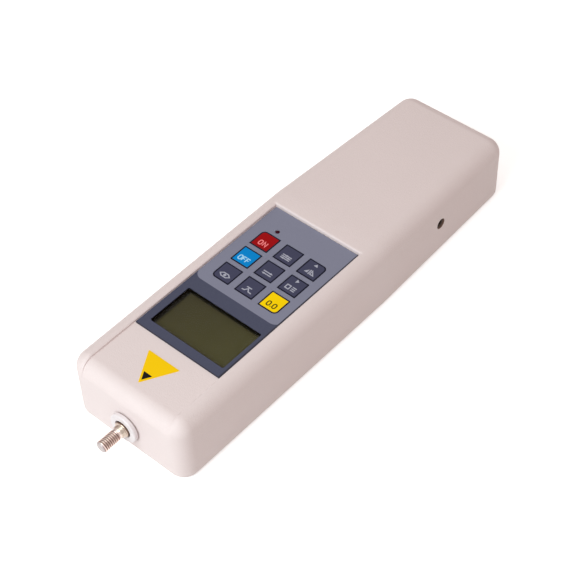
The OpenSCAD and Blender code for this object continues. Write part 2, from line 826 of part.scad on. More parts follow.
module anchor_screws() {
    color("silver") at_anchor_screws()
        flat_screw(anchor_screw_d, plate_t + anchor_screw_d * 2 - key_room, anchor_head_d, anchor_head_h);
}

module base_plate() {
    color("#9a9da1") difference() {
        translate([-plate_w / 2, plate_y, cover_t]) cube([plate_w, plate_len, plate_t]);
        at_stand_holes() translate([0, 0, cover_t - cut]) cylinder(d = stand_d, h = plate_t + 2 * cut);
        at_plate_screws() translate([0, 0, cover_t - cut])
            cylinder(d = screw_d + 2 * turn_gap, h = plate_t + 2 * cut);
        at_anchor_screws() flat_screw_hole(anchor_screw_d, plate_t + cut, anchor_head_d, anchor_head_h);
    }
}

module plate_screws() {
    color("silver") at_plate_screws() flat_screw(screw_d, cover_t + plate_t - key_room, head_d, head_h);
}

// Battery pack and its tray

module at_cells() {
    for (k = [0, 1], i = [-1 : 1])
        translate([pack_x + i * pack_pitch, pack_y, cover_t + tray_t + pack_pitch * (k + 0.5)]) children();
}

module battery_cells() {
    nub_d = cell_d * 0.36;
    color("#2f7d4f") at_cells() rotate([-90, 0, 0]) rotate_extrude() polygon([
        [0, 0], [cell_d / 2, 0], [cell_d / 2, battery_len - rib_t], [nub_d / 2, battery_len - rib_t],
        [nub_d / 2, battery_len], [0, battery_len]
    ]);
}

module cell_links() {
    link_h = cell_d * 0.4;
    color("#d0d0d0") {
        for (i = [-1 : 1])
            translate([pack_x + i * pack_pitch - link_h / 2, pack_y - link_t, cover_t + tray_t + link_h])
                cube([link_h, link_t, pack_pitch + link_h]);
        for (k = [0, 1])
            translate([pack_x - pack_pitch * (1 - k) - link_h / 2, pack_y + battery_len,
                       cover_t + tray_t + pack_pitch * (k + 0.5) - link_h / 2])
                cube([pack_pitch + link_h, link_t, link_h]);
    }
}

module battery_tray() {
    color("#3a3a3e") difference() {
        union() {
            translate([pack_x - tray_w / 2, tray_y, cover_t]) cube([tray_w, tray_len, tray_wall]);
            translate([pack_x - tray_ear / 2, tray_y - tray_ear, cover_t])
                cube([tray_ear, tray_len + 2 * tray_ear, tray_t]);
        }
        translate([pack_x - tray_w / 2 + tray_t, tray_y + tray_t, cover_t + tray_t])
            cube([tray_w - 2 * tray_t, tray_len - 2 * tray_t, tray_wall]);
        at_tray_screws() translate([0, 0, -cut])
            cylinder(d = board_screw_d + 2 * turn_gap, h = tray_t + 2 * cut);
    }
}

module tray_screws() {
    color("silver") at_tray_screws() translate([0, 0, tray_t])
        pan_screw(board_screw_d, tray_t * 2 - key_room);
}

module battery_foam() {
    y0 = pack_y + tray_ear;
    l = battery_len - 2 * tray_ear;
    top = min(roof_z(y0), roof_z(y0 + l)) - roof_t - fit_gap;
    color("#55585c") translate([pack_x - pack_pitch, y0, pack_top])
        cube([2 * pack_pitch, l, top - pack_top]);
}

lead_d = 1.6;
module lead(x, to_x, from_y, from_z) {
    wire([
        [x, from_y, from_z], [x, from_y - cable_d * 2, from_z],
        [to_x, plug_y + plug_size.y + cable_d, wire_drop_z], [to_x, plug_y, wire_drop_z],
        [to_x, plug_y, plug_bottom_z]
    ], lead_d);
}

module battery_leads() {
    from_z = cover_t + tray_t + pack_pitch * 1.5;
    color("#b02020") lead(pack_x - pack_pitch, -lead_d, pack_y - link_t, from_z);
    color("#202020") lead(pack_x + pack_pitch, lead_d, pack_y - link_t, from_z);
}

// Charging socket in its cradle

module charge_jack() {
    nose = wall_t - jack_face;
    color("#1e1e20") translate([jack_x - wall_t - fit_gap, jack_y, jack_h]) difference() {
        union() {
            translate([-jack_len, -jack_size / 2, -jack_size / 2]) cube([jack_len, jack_size, jack_size]);
            rotate([0, 90, 0]) cylinder(d = jack_hole_d - 2 * fit_gap, h = nose);
        }
        // Bore, and a wider lead-in through the nose
        translate([-jack_len * 0.7, 0, 0]) rotate([0, 90, 0]) cylinder(d = jack_bore_d, h = jack_len);
        translate([-fit_gap, 0, 0]) rotate([0, 90, 0])
            cylinder(d = jack_bore_d + 2 * fit_gap, h = nose + fit_gap + cut);
    }
}

module jack_leads() {
    x0 = jack_x - wall_t - fit_gap - jack_len * 0.75;
    z0 = jack_h - jack_size / 2;
    color("#b02020") for (s = [-1, 1])
        wire([
            [x0 + s * lead_d, jack_y, z0], [x0 + s * lead_d, jack_y, z0 - cable_d],
            [x0 + s * lead_d, plug_y + plug_size.y * 3, z0 - cable_d],
            [-cable_x + s * lead_d, plug_y, wire_drop_z],
            [-cable_x + s * lead_d, plug_y, plug_bottom_z]
        ], lead_d);
}

upper_case();
base_cover();
front_collar();
collar_ring();
keypad_overlay();
pointer_decal();
display_window();
lcd_glass();
lcd_backlight();
contact_strips();
main_board();
board_chips();
board_connectors();
buzzer();
board_screws();
status_led();
light_pipe();
switch_bodies();
key_pad(0, 0, "#a50f14");  // key_on
key_pad(1, 0, "#414152");  // key_set
key_pad(2, 0, "#414152");  // key_up
key_pad(0, 1, "#0082cd");  // key_off
key_pad(1, 1, "#414152");  // key_unit
key_pad(2, 1, "#414152");  // key_down
key_pad(0, 2, "#414152");  // key_view
key_pad(1, 2, "#414152");  // key_peak
key_pad(2, 2, "#ffd500");  // key_zero
plunger(0, 0);  // plunger_on
plunger(1, 0);  // plunger_set
plunger(2, 0);  // plunger_up
plunger(0, 1);  // plunger_off
plunger(1, 1);  // plunger_unit
plunger(2, 1);  // plunger_down
plunger(0, 2);  // plunger_view
plunger(1, 2);  // plunger_peak
plunger(2, 2);  // plunger_zero
force_shaft();
shaft_lock_nut();
load_cell();
strain_gauges();
cell_cable();
anchor_block();
anchor_bolt();
anchor_screws();
base_plate();
plate_screws();
battery_cells();
cell_links();
battery_tray();
tray_screws();
battery_foam();
battery_leads();
charge_jack();
jack_leads();
case_screws();
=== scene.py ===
# Digital force gauge: the finish of every piece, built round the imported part
import json
import math

import bmesh
import bpy
from mathutils import Matrix, Vector


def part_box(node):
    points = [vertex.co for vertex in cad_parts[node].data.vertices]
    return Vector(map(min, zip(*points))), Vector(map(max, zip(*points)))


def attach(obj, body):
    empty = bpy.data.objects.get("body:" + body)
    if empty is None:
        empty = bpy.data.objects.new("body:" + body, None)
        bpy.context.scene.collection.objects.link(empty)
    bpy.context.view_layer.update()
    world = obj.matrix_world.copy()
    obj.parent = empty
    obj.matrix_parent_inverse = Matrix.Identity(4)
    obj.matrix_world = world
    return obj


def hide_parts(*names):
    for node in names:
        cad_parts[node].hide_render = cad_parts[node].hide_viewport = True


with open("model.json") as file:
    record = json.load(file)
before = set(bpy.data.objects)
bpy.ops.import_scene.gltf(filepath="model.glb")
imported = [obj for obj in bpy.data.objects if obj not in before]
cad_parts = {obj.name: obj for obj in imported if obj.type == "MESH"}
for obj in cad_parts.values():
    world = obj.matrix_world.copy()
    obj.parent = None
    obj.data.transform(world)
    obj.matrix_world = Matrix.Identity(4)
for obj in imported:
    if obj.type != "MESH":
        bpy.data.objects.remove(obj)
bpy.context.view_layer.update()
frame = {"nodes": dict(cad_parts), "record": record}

mm = 0.001  # shapes below are worked out in millimetres
record = frame["record"]
slotOf = {part["node"]: part["material_slot"] for part in record["subparts"]}
bodyOf = {node: body for body, members in record["behaviour"]["bodies"].items() for node in members}


def boxOf(node):
    low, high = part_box(node)
    return low / mm, high / mm


def planMiddle(low, high):
    return (low.x + high.x) / 2, (low.y + high.y) / 2, 0


def aim(degrees):
    return math.cos(math.radians(degrees)), math.sin(math.radians(degrees))


# The way to an eye or a lamp, by degrees round from the front and up from the floor
def wayTo(azimuth, elevation):
    az, el = math.radians(azimuth), math.radians(elevation)
    return Vector((math.sin(az) * math.cos(el), -math.cos(az) * math.cos(el), math.sin(el)))


# Camera, fitted to the outline of the gauge in the photo
camera = {
    "azimuth": 42.778,  # degrees from the front towards the right side
    "elevation": 47.256,
    "roll": -2.271,
    "distance": 717.941,  # mm from the middle of the base
    "right": -7.789,  # mm that the eye is moved sideways and up from there
    "up": 3.224,
    "lens": 96.03,
    "sensor": 36.0,
    "nearest": 0.01,  # clipping, in metres
    "farthest": 20.0,
}


def addCamera(values):
    roll = math.radians(values["roll"])
    back = wayTo(values["azimuth"], values["elevation"])
    side = Vector((0, 0, 1)).cross(back).normalized()
    top = back.cross(side)
    right = math.cos(roll) * side + math.sin(roll) * top
    up = math.cos(roll) * top - math.sin(roll) * side
    data = bpy.data.cameras.new("camera")
    data.lens = values["lens"]
    data.sensor_width = values["sensor"]
    data.clip_start = values["nearest"]
    data.clip_end = values["farthest"]
    eye = bpy.data.objects.new("camera", data)
    place = (right * values["right"] + up * values["up"] + back * values["distance"]) * mm
    turn = Matrix((right, up, back)).transposed()
    eye.matrix_world = Matrix.Translation(place) @ turn.to_4x4()
    bpy.context.scene.collection.objects.link(eye)
    bpy.context.scene.camera = eye


addCamera(camera)
print("camera set")


# Node helpers: a sheet of nodes is either a material's or a group's
def addNode(sheet, kind, values=None, **settings):
    node = sheet.nodes.new(kind)
    for name, value in settings.items():
        setattr(node, name, value)
    for name, value in (values or {}).items():
        if isinstance(value, bpy.types.NodeSocket):
            sheet.links.new(value, node.inputs[name])
        else:
            node.inputs[name].default_value = value
    return node


def calc(sheet, operation, a, b=0.5, clamp=False):
    return addNode(sheet, "ShaderNodeMath", {0: a, 1: b}, operation=operation, use_clamp=clamp).outputs[0]


def vectorCalc(sheet, operation, a, b=(0.0, 0.0, 0.0), result="Vector"):
    return addNode(sheet, "ShaderNodeVectorMath", {0: a, 1: b}, operation=operation).outputs[result]


def lengthOf(sheet, x, y):
    squares = [calc(sheet, "MULTIPLY", value, value) for value in (x, y)]
    return calc(sheet, "SQRT", calc(sheet, "ADD", *squares))


def partsOf(sheet, vector):
    return addNode(sheet, "ShaderNodeSeparateXYZ", {0: vector}).outputs


def noiseOf(sheet, place, scale, detail, rough=0.5, distortion=0.0):
    return addNode(sheet, "ShaderNodeTexNoise", {"Vector": place, "Scale": scale, "Detail": detail,
                                                 "Roughness": rough, "Distortion": distortion}).outputs[0]


def rangeOf(sheet, value, fromLow, fromHigh, toLow=0.0, toHigh=1.0):
    ends = {"From Min": fromLow, "From Max": fromHigh, "To Min": toLow, "To Max": toHigh}
    return addNode(sheet, "ShaderNodeMapRange", {"Value": value, **ends}).outputs[0]


# Colours are red, green and blue, or come from another node
def mixColours(sheet, factor, a, b):
    a, b = (c if isinstance(c, bpy.types.NodeSocket) else (*c, 1.0) for c in (a, b))
    return addNode(sheet, "ShaderNodeMix", {0: factor, 6: a, 7: b}, data_type="RGBA").outputs[2]


def shade(colour, factor):
    return tuple(min(1.0, c * factor) for c in colour)


def newGroup(name, inputs, outputs):
    group = bpy.data.node_groups.new(name, "ShaderNodeTree")
    for label, kind, value in inputs:
        socket = group.interface.new_socket(name=label, in_out="INPUT", socket_type="NodeSocket" + kind)
        if value is not None:
            socket.default_value = value
    for label in outputs:
        group.interface.new_socket(name=label, in_out="OUTPUT", socket_type="NodeSocketFloat")
    return group, group.nodes.new("NodeGroupInput").outputs, group.nodes.new("NodeGroupOutput").inputs


# Fine moulded grain: a height, and a mask of the same grains
def grainGroup():
    group, given, out = newGroup(
        "fine grain", [("Size", "Float", 0.3), ("Vector", "Vector", None)], ["Height", "Mask"])
    scale = calc(group, "DIVIDE", 1 / mm, given["Size"])
    fine = noiseOf(group, given["Vector"], scale, 2.0, rough=0.55)
    broad = noiseOf(group, given["Vector"], calc(group, "MULTIPLY", scale, 0.36), 2.0, rough=0.6)
    height = calc(group, "ADD", calc(group, "MULTIPLY", fine, 0.6), calc(group, "MULTIPLY", broad, 0.4))
    group.links.new(height, out["Height"])
    group.links.new(rangeOf(group, height, 0.38, 0.62), out["Mask"])
    return group


# Handling marks: slow patches that change the gloss and the tint a little
def patchGroup():
    group, given, out = newGroup(
        "handling", [("Size", "Float", 20.0), ("Vector", "Vector", None)], ["Mask", "Specks"])
    scale = calc(group, "DIVIDE", 1 / mm, given["Size"])
    cloud = noiseOf(group, given["Vector"], scale, 4.0, rough=0.6, distortion=0.3)
    specks = noiseOf(group, given["Vector"], calc(group, "MULTIPLY", scale, 24.0), 1.0)
    group.links.new(rangeOf(group, cloud, 0.35, 0.65), out["Mask"])
    group.links.new(rangeOf(group, specks, 0.68, 0.74), out["Specks"])
    return group


# Machining or brushing lines across one axis, given by the stretch of the noise
def brushGroup():
    group, given, out = newGroup(
        "brushed", [("Stretch", "Vector", (1.0, 1.0, 1.0)), ("Vector", "Vector", None)], ["Height", "Mask"])
    stretched = vectorCalc(group, "MULTIPLY", given["Vector"], given["Stretch"])
    lines = noiseOf(group, stretched, 1 / mm, 3.0, rough=0.7)
    group.links.new(lines, out["Height"])
    group.links.new(rangeOf(group, lines, 0.3, 0.7), out["Mask"])
    return group


# Printed zone: a rounded rectangle in plan, in millimetres, 1 inside and 0 outside
def zoneGroup():
    group, given, out = newGroup(
        "printed zone",
        [("Centre", "Vector", (0.0, 0.0, 0.0)), ("Half size", "Vector", (1.0, 1.0, 0.0)),
         ("Radius", "Float", 1.0), ("Softness", "Float", 0.1), ("Vector", "Vector", None)],
        ["Mask"])
    place = vectorCalc(group, "DIVIDE", given["Vector"], (mm, mm, mm))
    away = vectorCalc(group, "ABSOLUTE", vectorCalc(group, "SUBTRACT", place, given["Centre"]))
    beyond = partsOf(group, vectorCalc(group, "SUBTRACT", away, given["Half size"]))
    x, y = (calc(group, "MAXIMUM", calc(group, "ADD", beyond[k], given["Radius"]), 0.0) for k in (0, 1))
    edge = calc(group, "SUBTRACT", given["Radius"], lengthOf(group, x, y))
    group.links.new(rangeOf(group, edge, 0.0, given["Softness"]), out["Mask"])
    return group


groups = {"grain": grainGroup(), "patch": patchGroup(), "brush": brushGroup(), "zone": zoneGroup()}
print("node groups made")


def useGroup(sheet, name, place, values):
    return addNode(sheet, "ShaderNodeGroup", {"Vector": place, **values}, node_tree=groups[name]).outputs


# Materials. Each starts from its shader and its own place on the object
def startMaterial(name, fixed):
    material = bpy.data.materials.new(name)
    material.use_nodes = True
    sheet = material.node_tree
    for label, value in fixed.items():
        sheet.nodes["Principled BSDF"].inputs[label].default_value = value
    return material, sheet, addNode(sheet, "ShaderNodeTexCoord").outputs["Object"]


# Ends a material: its colour, a gloss that changes with handling, and its relief
def endMaterial(material, colour, patches, rough, height=None, depth=0.0):
    sheet = material.node_tree
    shader = sheet.nodes["Principled BSDF"]
    sheet.links.new(colour, shader.inputs["Base Color"])
    sheet.links.new(rangeOf(sheet, patches["Mask"], 0.0, 1.0, *rough), shader.inputs["Roughness"])
    if height:
        bump = addNode(sheet, "ShaderNodeBump", {"Height": height, "Distance": depth * mm})
        sheet.links.new(bump.outputs[0], shader.inputs["Normal"])
    return material


# Moulded or printed plastic, rubber and film
def plasticMaterial(name, colour, rough=0.5, grain=0.3, depth=0.02, tint=0.05, patch=25.0, gloss=0.06,
                    specular=0.5):
    material, sheet, place = startMaterial(name, {"Specular IOR Level": specular})
    grains = useGroup(sheet, "grain", place, {"Size": grain})
    patches = useGroup(sheet, "patch", place, {"Size": patch})
    base = mixColours(sheet, patches["Mask"], shade(colour, 1 - tint), shade(colour, 1 + tint))
    speckle = calc(sheet, "MULTIPLY", grains["Mask"], 0.5)
    speckled = mixColours(sheet, speckle, base, shade(colour, 1 - tint * 1.5))
    return endMaterial(material, speckled, patches, (rough - gloss, rough + gloss), grains["Height"], depth)


# Turned, milled or plated metal
def metalMaterial(name, colour, rough=0.3, stretch=(1.0, 1.0, 1.0), depth=0.004, tint=0.06, patch=12.0):
    material, sheet, place = startMaterial(name, {"Metallic": 1.0})
    lines = useGroup(sheet, "brush", place, {"Stretch": stretch})
    patches = useGroup(sheet, "patch", place, {"Size": patch})
    base = mixColours(sheet, lines["Mask"], shade(colour, 1 - tint), shade(colour, 1 + tint))
    dulledAndShaded = mixColours(sheet, calc(sheet, "MULTIPLY", patches["Specks"], 0.5), base, shade(colour, 0.6))
    return endMaterial(material, dulledAndShaded, patches, (rough * 0.8, rough * 1.25), lines["Height"], depth)


plastics = {
    "case_plastic": ((0.76, 0.640, 0.620), {"grain": 0.45, "depth": 0.15, "tint": 0.015, "patch": 40.0}),
    # painted shade: the case plastic on the wall of the socket hole is made dark brown where the hole lies
    # in shade
    "hole_shade": ((0.22, 0.125, 0.09), {"rough": 0.6, "grain": 0.45, "depth": 0.1}),
    "circuit_board": ((0.015, 0.11, 0.045), {"rough": 0.32, "grain": 0.6, "tint": 0.1}),
    "cover_plastic": ((0.74, 0.625, 0.605), {"rough": 0.55, "grain": 0.42, "depth": 0.09, "tint": 0.015}),
    "collar_plastic": ((0.755, 0.68, 0.68), {"rough": 0.34, "grain": 0.5, "depth": 0.01, "tint": 0.02}),
    "light_guide": ((0.85, 0.86, 0.84), {"rough": 0.25, "depth": 0.01}),
    "strip_rubber": ((0.04, 0.04, 0.04), {"rough": 0.7}),
    "chip_black": ((0.022, 0.022, 0.025), {"rough": 0.55, "grain": 0.15}),
    "connector_nylon": ((0.78, 0.75, 0.64), {"rough": 0.45}),
    "plunger_white": ((0.70, 0.70, 0.68), {"rough": 0.35}),
    "gauge_foil": ((0.60, 0.27, 0.06), {"rough": 0.3, "tint": 0.15}),
    "cable_grey": ((0.11, 0.11, 0.12), {"rough": 0.55}),
    "battery_sleeve": ((0.03, 0.22, 0.09), {"rough": 0.22, "depth": 0.005}),
    "tray_plastic": ((0.04, 0.04, 0.045), {"rough": 0.55}),
    "foam_grey": ((0.09, 0.09, 0.10), {"rough": 0.9, "grain": 0.8, "depth": 0.25, "tint": 0.2}),
    "lead_red": ((0.40, 0.02, 0.02), {"rough": 0.4, "depth": 0.01}),
    "jack_plastic": ((0.06, 0.034, 0.022), {"rough": 0.4, "depth": 0.01}),
}
metals = {
    "bolt_black": ((0.05, 0.05, 0.055), {"rough": 0.45}),
    "screw_steel": ((0.62, 0.62, 0.62), {"stretch": (1.0, 1.0, 6.0)}),
    "ring_steel": ((0.50, 0.50, 0.51), {"rough": 0.35, "stretch": (1.0, 6.0, 1.0)}),
    "nut_steel": ((0.55, 0.55, 0.55), {"rough": 0.35}),
    "cell_aluminium": ((0.75, 0.76, 0.78), {"rough": 0.38, "stretch": (0.05, 3.0, 3.0)}),
    "plate_steel": ((0.50, 0.51, 0.52), {"rough": 0.4, "stretch": (3.0, 0.05, 3.0)}),
    "link_nickel": ((0.66, 0.66, 0.64), {"rough": 0.25}),
}
materials = {}
for make, table in ((plasticMaterial, plastics), (metalMaterial, metals)):
    for look, (colour, settings) in table.items():
        materials[look] = make(look.replace("_", " "), colour, **settings)
print("plastics and metals made")


# Shape helpers. A shape is a bmesh in millimetres
def loft(loops, startCap=True, endCap=True, capLook=0):
    shape = bmesh.new()
    rings = [[shape.verts.new(p) for p in loop] for loop in loops]
    count = len(rings[0])
    for a, b in zip(rings, rings[1:]):
        for i in range(count):
            j = (i + 1) % count
            shape.faces.new((a[i], a[j], b[j], b[i]))
    if startCap:
        shape.faces.new(rings[0][::-1])
    if endCap:
        shape.faces.new(rings[-1]).material_index = capLook
    return shape


# One outline lofted through pairs of inset and height
def layered(outline, levels, capLook=0):
    return loft([[(x, y, z) for x, y in outline(inset)] for inset, z in levels], capLook=capLook)


def lathe(profile, steps=64):
    shape = bmesh.new()
    turns = [2 * math.pi * i / steps for i in range(steps)]
    rings = []
    for radius, height in profile:
        if radius == 0:
            rings.append([shape.verts.new((0, 0, height))] * steps)
        else:
            rings.append([shape.verts.new((radius * math.cos(a), radius * math.sin(a), height))
                          for a in turns])
    for a, b in zip(rings, rings[1:]):
        for i in range(steps):
            j = (i + 1) % steps
            corners = list(dict.fromkeys((a[i], a[j], b[j], b[i])))
            if len(corners) > 2:
                shape.faces.new(corners)
    return shape


def cleaned(shape, distance=0.0004):
    bmesh.ops.remove_doubles(shape, verts=shape.verts, dist=distance)
    bmesh.ops.dissolve_degenerate(shape, dist=distance, edges=shape.edges)
    bmesh.ops.recalc_face_normals(shape, faces=shape.faces)
    return shape


def moved(shape, place, axis="Z"):
    turns = {"Z": Matrix.Identity(4), "Y": Matrix.Rotation(math.radians(-90), 4, "X"),
             "X": Matrix.Rotation(math.radians(90), 4, "Y")}
    shape.transform(Matrix.Translation(place) @ turns[axis])
    return shape


def rod(radius, low, high, place=(0, 0, 0), axis="Z", steps=48):
    return moved(lathe([(0, low), (radius, low), (radius, high), (0, high)], steps), Vector(place), axis)


def arc(centre, radius, start, end, steps):
    ways = [aim(start + (end - start) * i / steps) for i in range(steps + 1)]
    return [(centre[0] + radius * across, centre[1] + radius * up) for across, up in ways]


# Rounded rectangle, drawn in by inset; radii run from the front right corner round to the front left one
def roundedOutline(low, high, radii, inset=0.0, steps=6):
    points = []
    corners = ((high[0], low[1], -1, 1, -90), (high[0], high[1], -1, -1, 0), (low[0], high[1], 1, -1, 90),
               (low[0], low[1], 1, 1, 180))
    for (x, y, sx, sy, start), radius in zip(corners, radii):
        left = max(radius - inset, 0.02)
        reach = inset + left
        points += arc((x + sx * reach, y + sy * reach), left, start, start + 90, steps)
    return points


def block(low, high, bevel=0.0, radius=0.0):
    radii = [max(radius, bevel + 0.03)] * 4
    levels = [(0, low[2] + bevel), (0, high[2] - bevel)]
    if bevel:
        levels = [(bevel, low[2]), *levels, (bevel, high[2])]
    return layered(lambda inset: roundedOutline(low, high, radii, inset), levels)


# Flat sheet with holes and eased upper edges
def sheetWithHoles(loops, low, high, ease):
    shape = bmesh.new()
    for loop in loops:
        points = [shape.verts.new((x, y, low)) for x, y in loop]
        for a, b in zip(points, points[1:] + points[:1]):
            shape.edges.new((a, b))
    made = bmesh.ops.triangle_fill(shape, use_beauty=True, edges=shape.edges[:])
    faces = [f for f in made["geom"] if isinstance(f, bmesh.types.BMFace)]
    raised = bmesh.ops.extrude_face_region(shape, geom=faces)["geom"]
    upper = [v for v in raised if isinstance(v, bmesh.types.BMVert)]
    bmesh.ops.translate(shape, vec=(0, 0, high - low), verts=upper)
    bmesh.ops.recalc_face_normals(shape, faces=shape.faces)
    middle = (low + high) / 2
    rims = [e for e in shape.edges if min(v.co.z for v in e.verts) > middle
            and any(min(v.co.z for v in f.verts) < middle for f in e.link_faces)]
    bmesh.ops.bevel(shape, geom=rims, offset=ease, segments=2, profile=0.5, affect="EDGES")
    return shape


# Line of ink of an even width along points in plan; sharpest limits its reach at sharp corners
def stroke(shape, points, width, low, high, look, closed=False, sharpest=0.4):
    points = [Vector(p) for p in points]
    count = len(points)
    rings = []
    for i, p in enumerate(points):
        ahead = points[(i + 1) % count] - p if closed or i < count - 1 else p - points[i - 1]
        behind = p - points[i - 1] if closed or i > 0 else ahead
        a, b = ahead.normalized(), behind.normalized()
        normal = Vector((-(a.y + b.y), a.x + b.x)).normalized()
        reach = width / 2 / max(sharpest, normal.dot(Vector((-a.y, a.x))))
        left, right = p + normal * reach, p - normal * reach
        rings.append([shape.verts.new((q.x, q.y, z))
                      for q, z in ((left, low), (left, high), (right, high), (right, low))])
    for i in range(count if closed else count - 1):
        a, b = rings[i], rings[(i + 1) % count]
        for k in range(4):
            shape.faces.new((a[k], a[(k + 1) % 4], b[(k + 1) % 4], b[k])).material_index = look
    if not closed:
        for ring in (rings[0], rings[-1]):
            shape.faces.new(ring).material_index = look


# Adds another shape, which is used up
def joined(shape, other):
    spare = bpy.data.meshes.new("spare")
    other.to_mesh(spare)
    other.free()
    shape.from_mesh(spare)
    bpy.data.meshes.remove(spare)
    return shape


def flatMark(shape, points, low, high, look):
    mark = loft([[(x, y, z) for x, y in points] for z in (low, high)])
    for face in mark.faces:
        face.material_index = look
    joined(shape, mark)


# Joins or cuts solid shapes, one after the other
def combined(shape, others, operation):
    def standIn(form):
        mesh = bpy.data.meshes.new("spare")
        bmesh.ops.recalc_face_normals(form, faces=form.faces)
        form.to_mesh(mesh)
        form.free()
        thing = bpy.data.objects.new("spare", mesh)
        bpy.context.scene.collection.objects.link(thing)
        return thing
    base = standIn(shape)
    tools = [standIn(other) for other in others]
    for tool in tools:
        step = base.modifiers.new("step", "BOOLEAN")
        step.operation = operation
        step.object = tool
        step.solver = "MANIFOLD"
    result = bmesh.new()
    result.from_mesh(base.evaluated_get(bpy.context.evaluated_depsgraph_get()).to_mesh())
    for thing in [base, *tools]:
        mesh = thing.data
        bpy.data.objects.remove(thing)
        bpy.data.meshes.remove(mesh)
    return result


# Turns a shape into a piece that rides on its node's body and stands for that node
def addPiece(name, shape, node, looks, sharp=40):
    bmesh.ops.recalc_face_normals(shape, faces=shape.faces)
    shape.transform(Matrix.Scale(mm, 4))
    for face in shape.faces:
        face.smooth = True
    for edge in shape.edges:
        if len(edge.link_faces) == 2 and edge.calc_face_angle(0) > math.radians(sharp):
            edge.smooth = False
    mesh = bpy.data.meshes.new(name)
    shape.to_mesh(mesh)
    shape.free()
    piece = bpy.data.objects.new(name, mesh)
    bpy.context.scene.collection.objects.link(piece)
    for look in looks:
        mesh.materials.append(materials[look])
    piece.modifiers.new("weights", "WEIGHTED_NORMAL").keep_sharp = True
    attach(piece, bodyOf[node])
    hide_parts(node)


# Boxes of the separate solids of a CAD node, such as a set of screws
def solidsOf(node):
    shape = bmesh.new()
    shape.from_mesh(frame["nodes"][node].data)
    bmesh.ops.remove_doubles(shape, verts=shape.verts, dist=1e-6)
    left = set(shape.verts)
    boxes = []
    while left:
        group = set()
        waiting = [left.pop()]
        while waiting:
            vert = waiting.pop()
            group.add(vert)
            for edge in vert.link_edges:
                other = edge.other_vert(vert)
                if other in left:
                    left.discard(other)
                    waiting.append(other)
        boxes.append([Vector([pick(v.co[k] for v in group) for k in range(3)]) / mm for pick in (min, max)])
    shape.free()
    return sorted(boxes, key=lambda b: (round(b[0].y), b[0].x))


# Case: one moulding with rounded edges, the sunk panel, its openings and the bosses inside
caseForm = {
    "edgeRadius": 7.8,  # upper edges, and the corners in plan
    "edgeSteps": 14,
    "closest": 0.012,  # radians between two levels of the rounding
    "baseRadius": 4.0,
    "wall": 2.5,
    "roof": 4.0,
    "rim": 5.6,  # flat rim round the base cover
    "rimHeight": 3.0,
    "crownFromFront": 133.5,
    "crownRise": 0.9,
    "rearDrop": 2.0,
    "sideTaper": 3.1,
    "lipWidth": 2.2,  # soft lip where the panel's walls meet the roof
    "lipHeight": 0.85,
    "rearLipWidth": 1.0,
    "rearLipHeight": 0.85,
    "wallInset": 0.25,  # the side walls stand this far inside the edge of the flat top
    "footFillet": 0.12,
    "filletSteps": 4,
    "filmGap": 0.2,
    "rollOver": 0.12,  # the rolled-off floor reaches this far past the front face
    "floorRows": 8,
    "roofRows": 6,
    "beforeStep": 1.0,  # from the last row of the floor to the rear wall of the panel
    "crownRows": (-5.0, -2.0, 0.0, 2.0, 5.0),  # rows round the crown
    "rowGap": 0.3,  # rows closer than this to the rear wall are left out
    "rimEase": 0.15,
    "rimStep": 1.1,  # ledge above the rim, then a chamfer and a short slope to the wall
    "rimChamfer": 0.4,
    "rimSlope": 1.1,
    "padGap": 0.1,  # room round the key pads, the pane and the display glass
    "paneGap": 0.1,
    "glassGap": 0.2,
    "pocket": 0.45,  # depth of the openings for the key pads
    "plungerHole": 3.8,
    "lightHole": 2.4,
    "spigot": 5.9,
    "socketHole": 5.4,
    "socketEase": 0.25,
    "boss": 7.0,
    "bossPilot": 1.55,
    "bossDeeper": 0.5,  # the pilot holes run on past the ends of the screws
    "boardBoss": 5.0,
    "boardPilot": 1.3,
    "boardDeeper": 0.2,
    "rib": 1.5,
    "overrun": 1.0,  # of the cutting shapes
}
caseLow, caseHigh = boxOf("upper_case")
filmLow, filmHigh = boxOf("keypad_overlay")
shaftLow, shaftHigh = boxOf("force_shaft")
axisZ = (shaftLow.z + shaftHigh.z) / 2
floorZ = filmLow.z
edgeR = caseForm["edgeRadius"]
crownY = caseLow.y + caseForm["crownFromFront"]
frontCornerY = caseLow.y + edgeR
rearCornerY = caseHigh.y - edgeR


def roofZ(y):
    if y < crownY:
        return caseHigh.z - caseForm["crownRise"] * (crownY - y) / (crownY - caseLow.y)
    return caseHigh.z - caseForm["rearDrop"] * (y - crownY) / (caseHigh.y - crownY)


def topHalf(y):
    share = min(1.0, max(0.0, (y - crownY) / (rearCornerY - crownY)))
    return caseHigh.x - edgeR - caseForm["sideTaper"] * share


# Section of a panel wall: (distance past the wall, measured from the floor or the roof, by how much)
def wallSection(width, height, past):
    steps, foot = caseForm["filletSteps"], caseForm["footFillet"]
    turn = [math.radians(90 * i / steps) for i in range(steps + 1)]
    last = math.acos(1 - past / width)
    lip = [last * i / steps for i in range(steps + 1)]
    return [(foot * (math.sin(a) - 1), "floor", foot * (1 - math.cos(a))) for a in turn] \
        + [(width * (1 - math.cos(a)), "roof", height * (1 - math.sin(a))) for a in lip]


# The rounded lip of a side wall runs on past the flat top, into the rounding of the case
def lipDrop(x):
    away = topHalf(0) - caseForm["wallInset"] + caseForm["lipWidth"] - abs(x)
    share = min(1.0, max(0.0, away / caseForm["lipWidth"]))
    return caseForm["lipHeight"] * (1 - math.sqrt(1 - share * share))


def caseColumns():
    wall = topHalf(0) - caseForm["wallInset"]
    half = [(wall * share, "floor", 0.0) for share in (0.25, 0.5, 0.75, 0.93)]
    half += [(wall + away, kind, off)
             for away, kind, off in wallSection(caseForm["lipWidth"], caseForm["lipHeight"],
                                                caseForm["wallInset"])]
    return [(-x, kind, off) for x, kind, off in reversed(half)] + [(0.0, "floor", 0.0)] + half


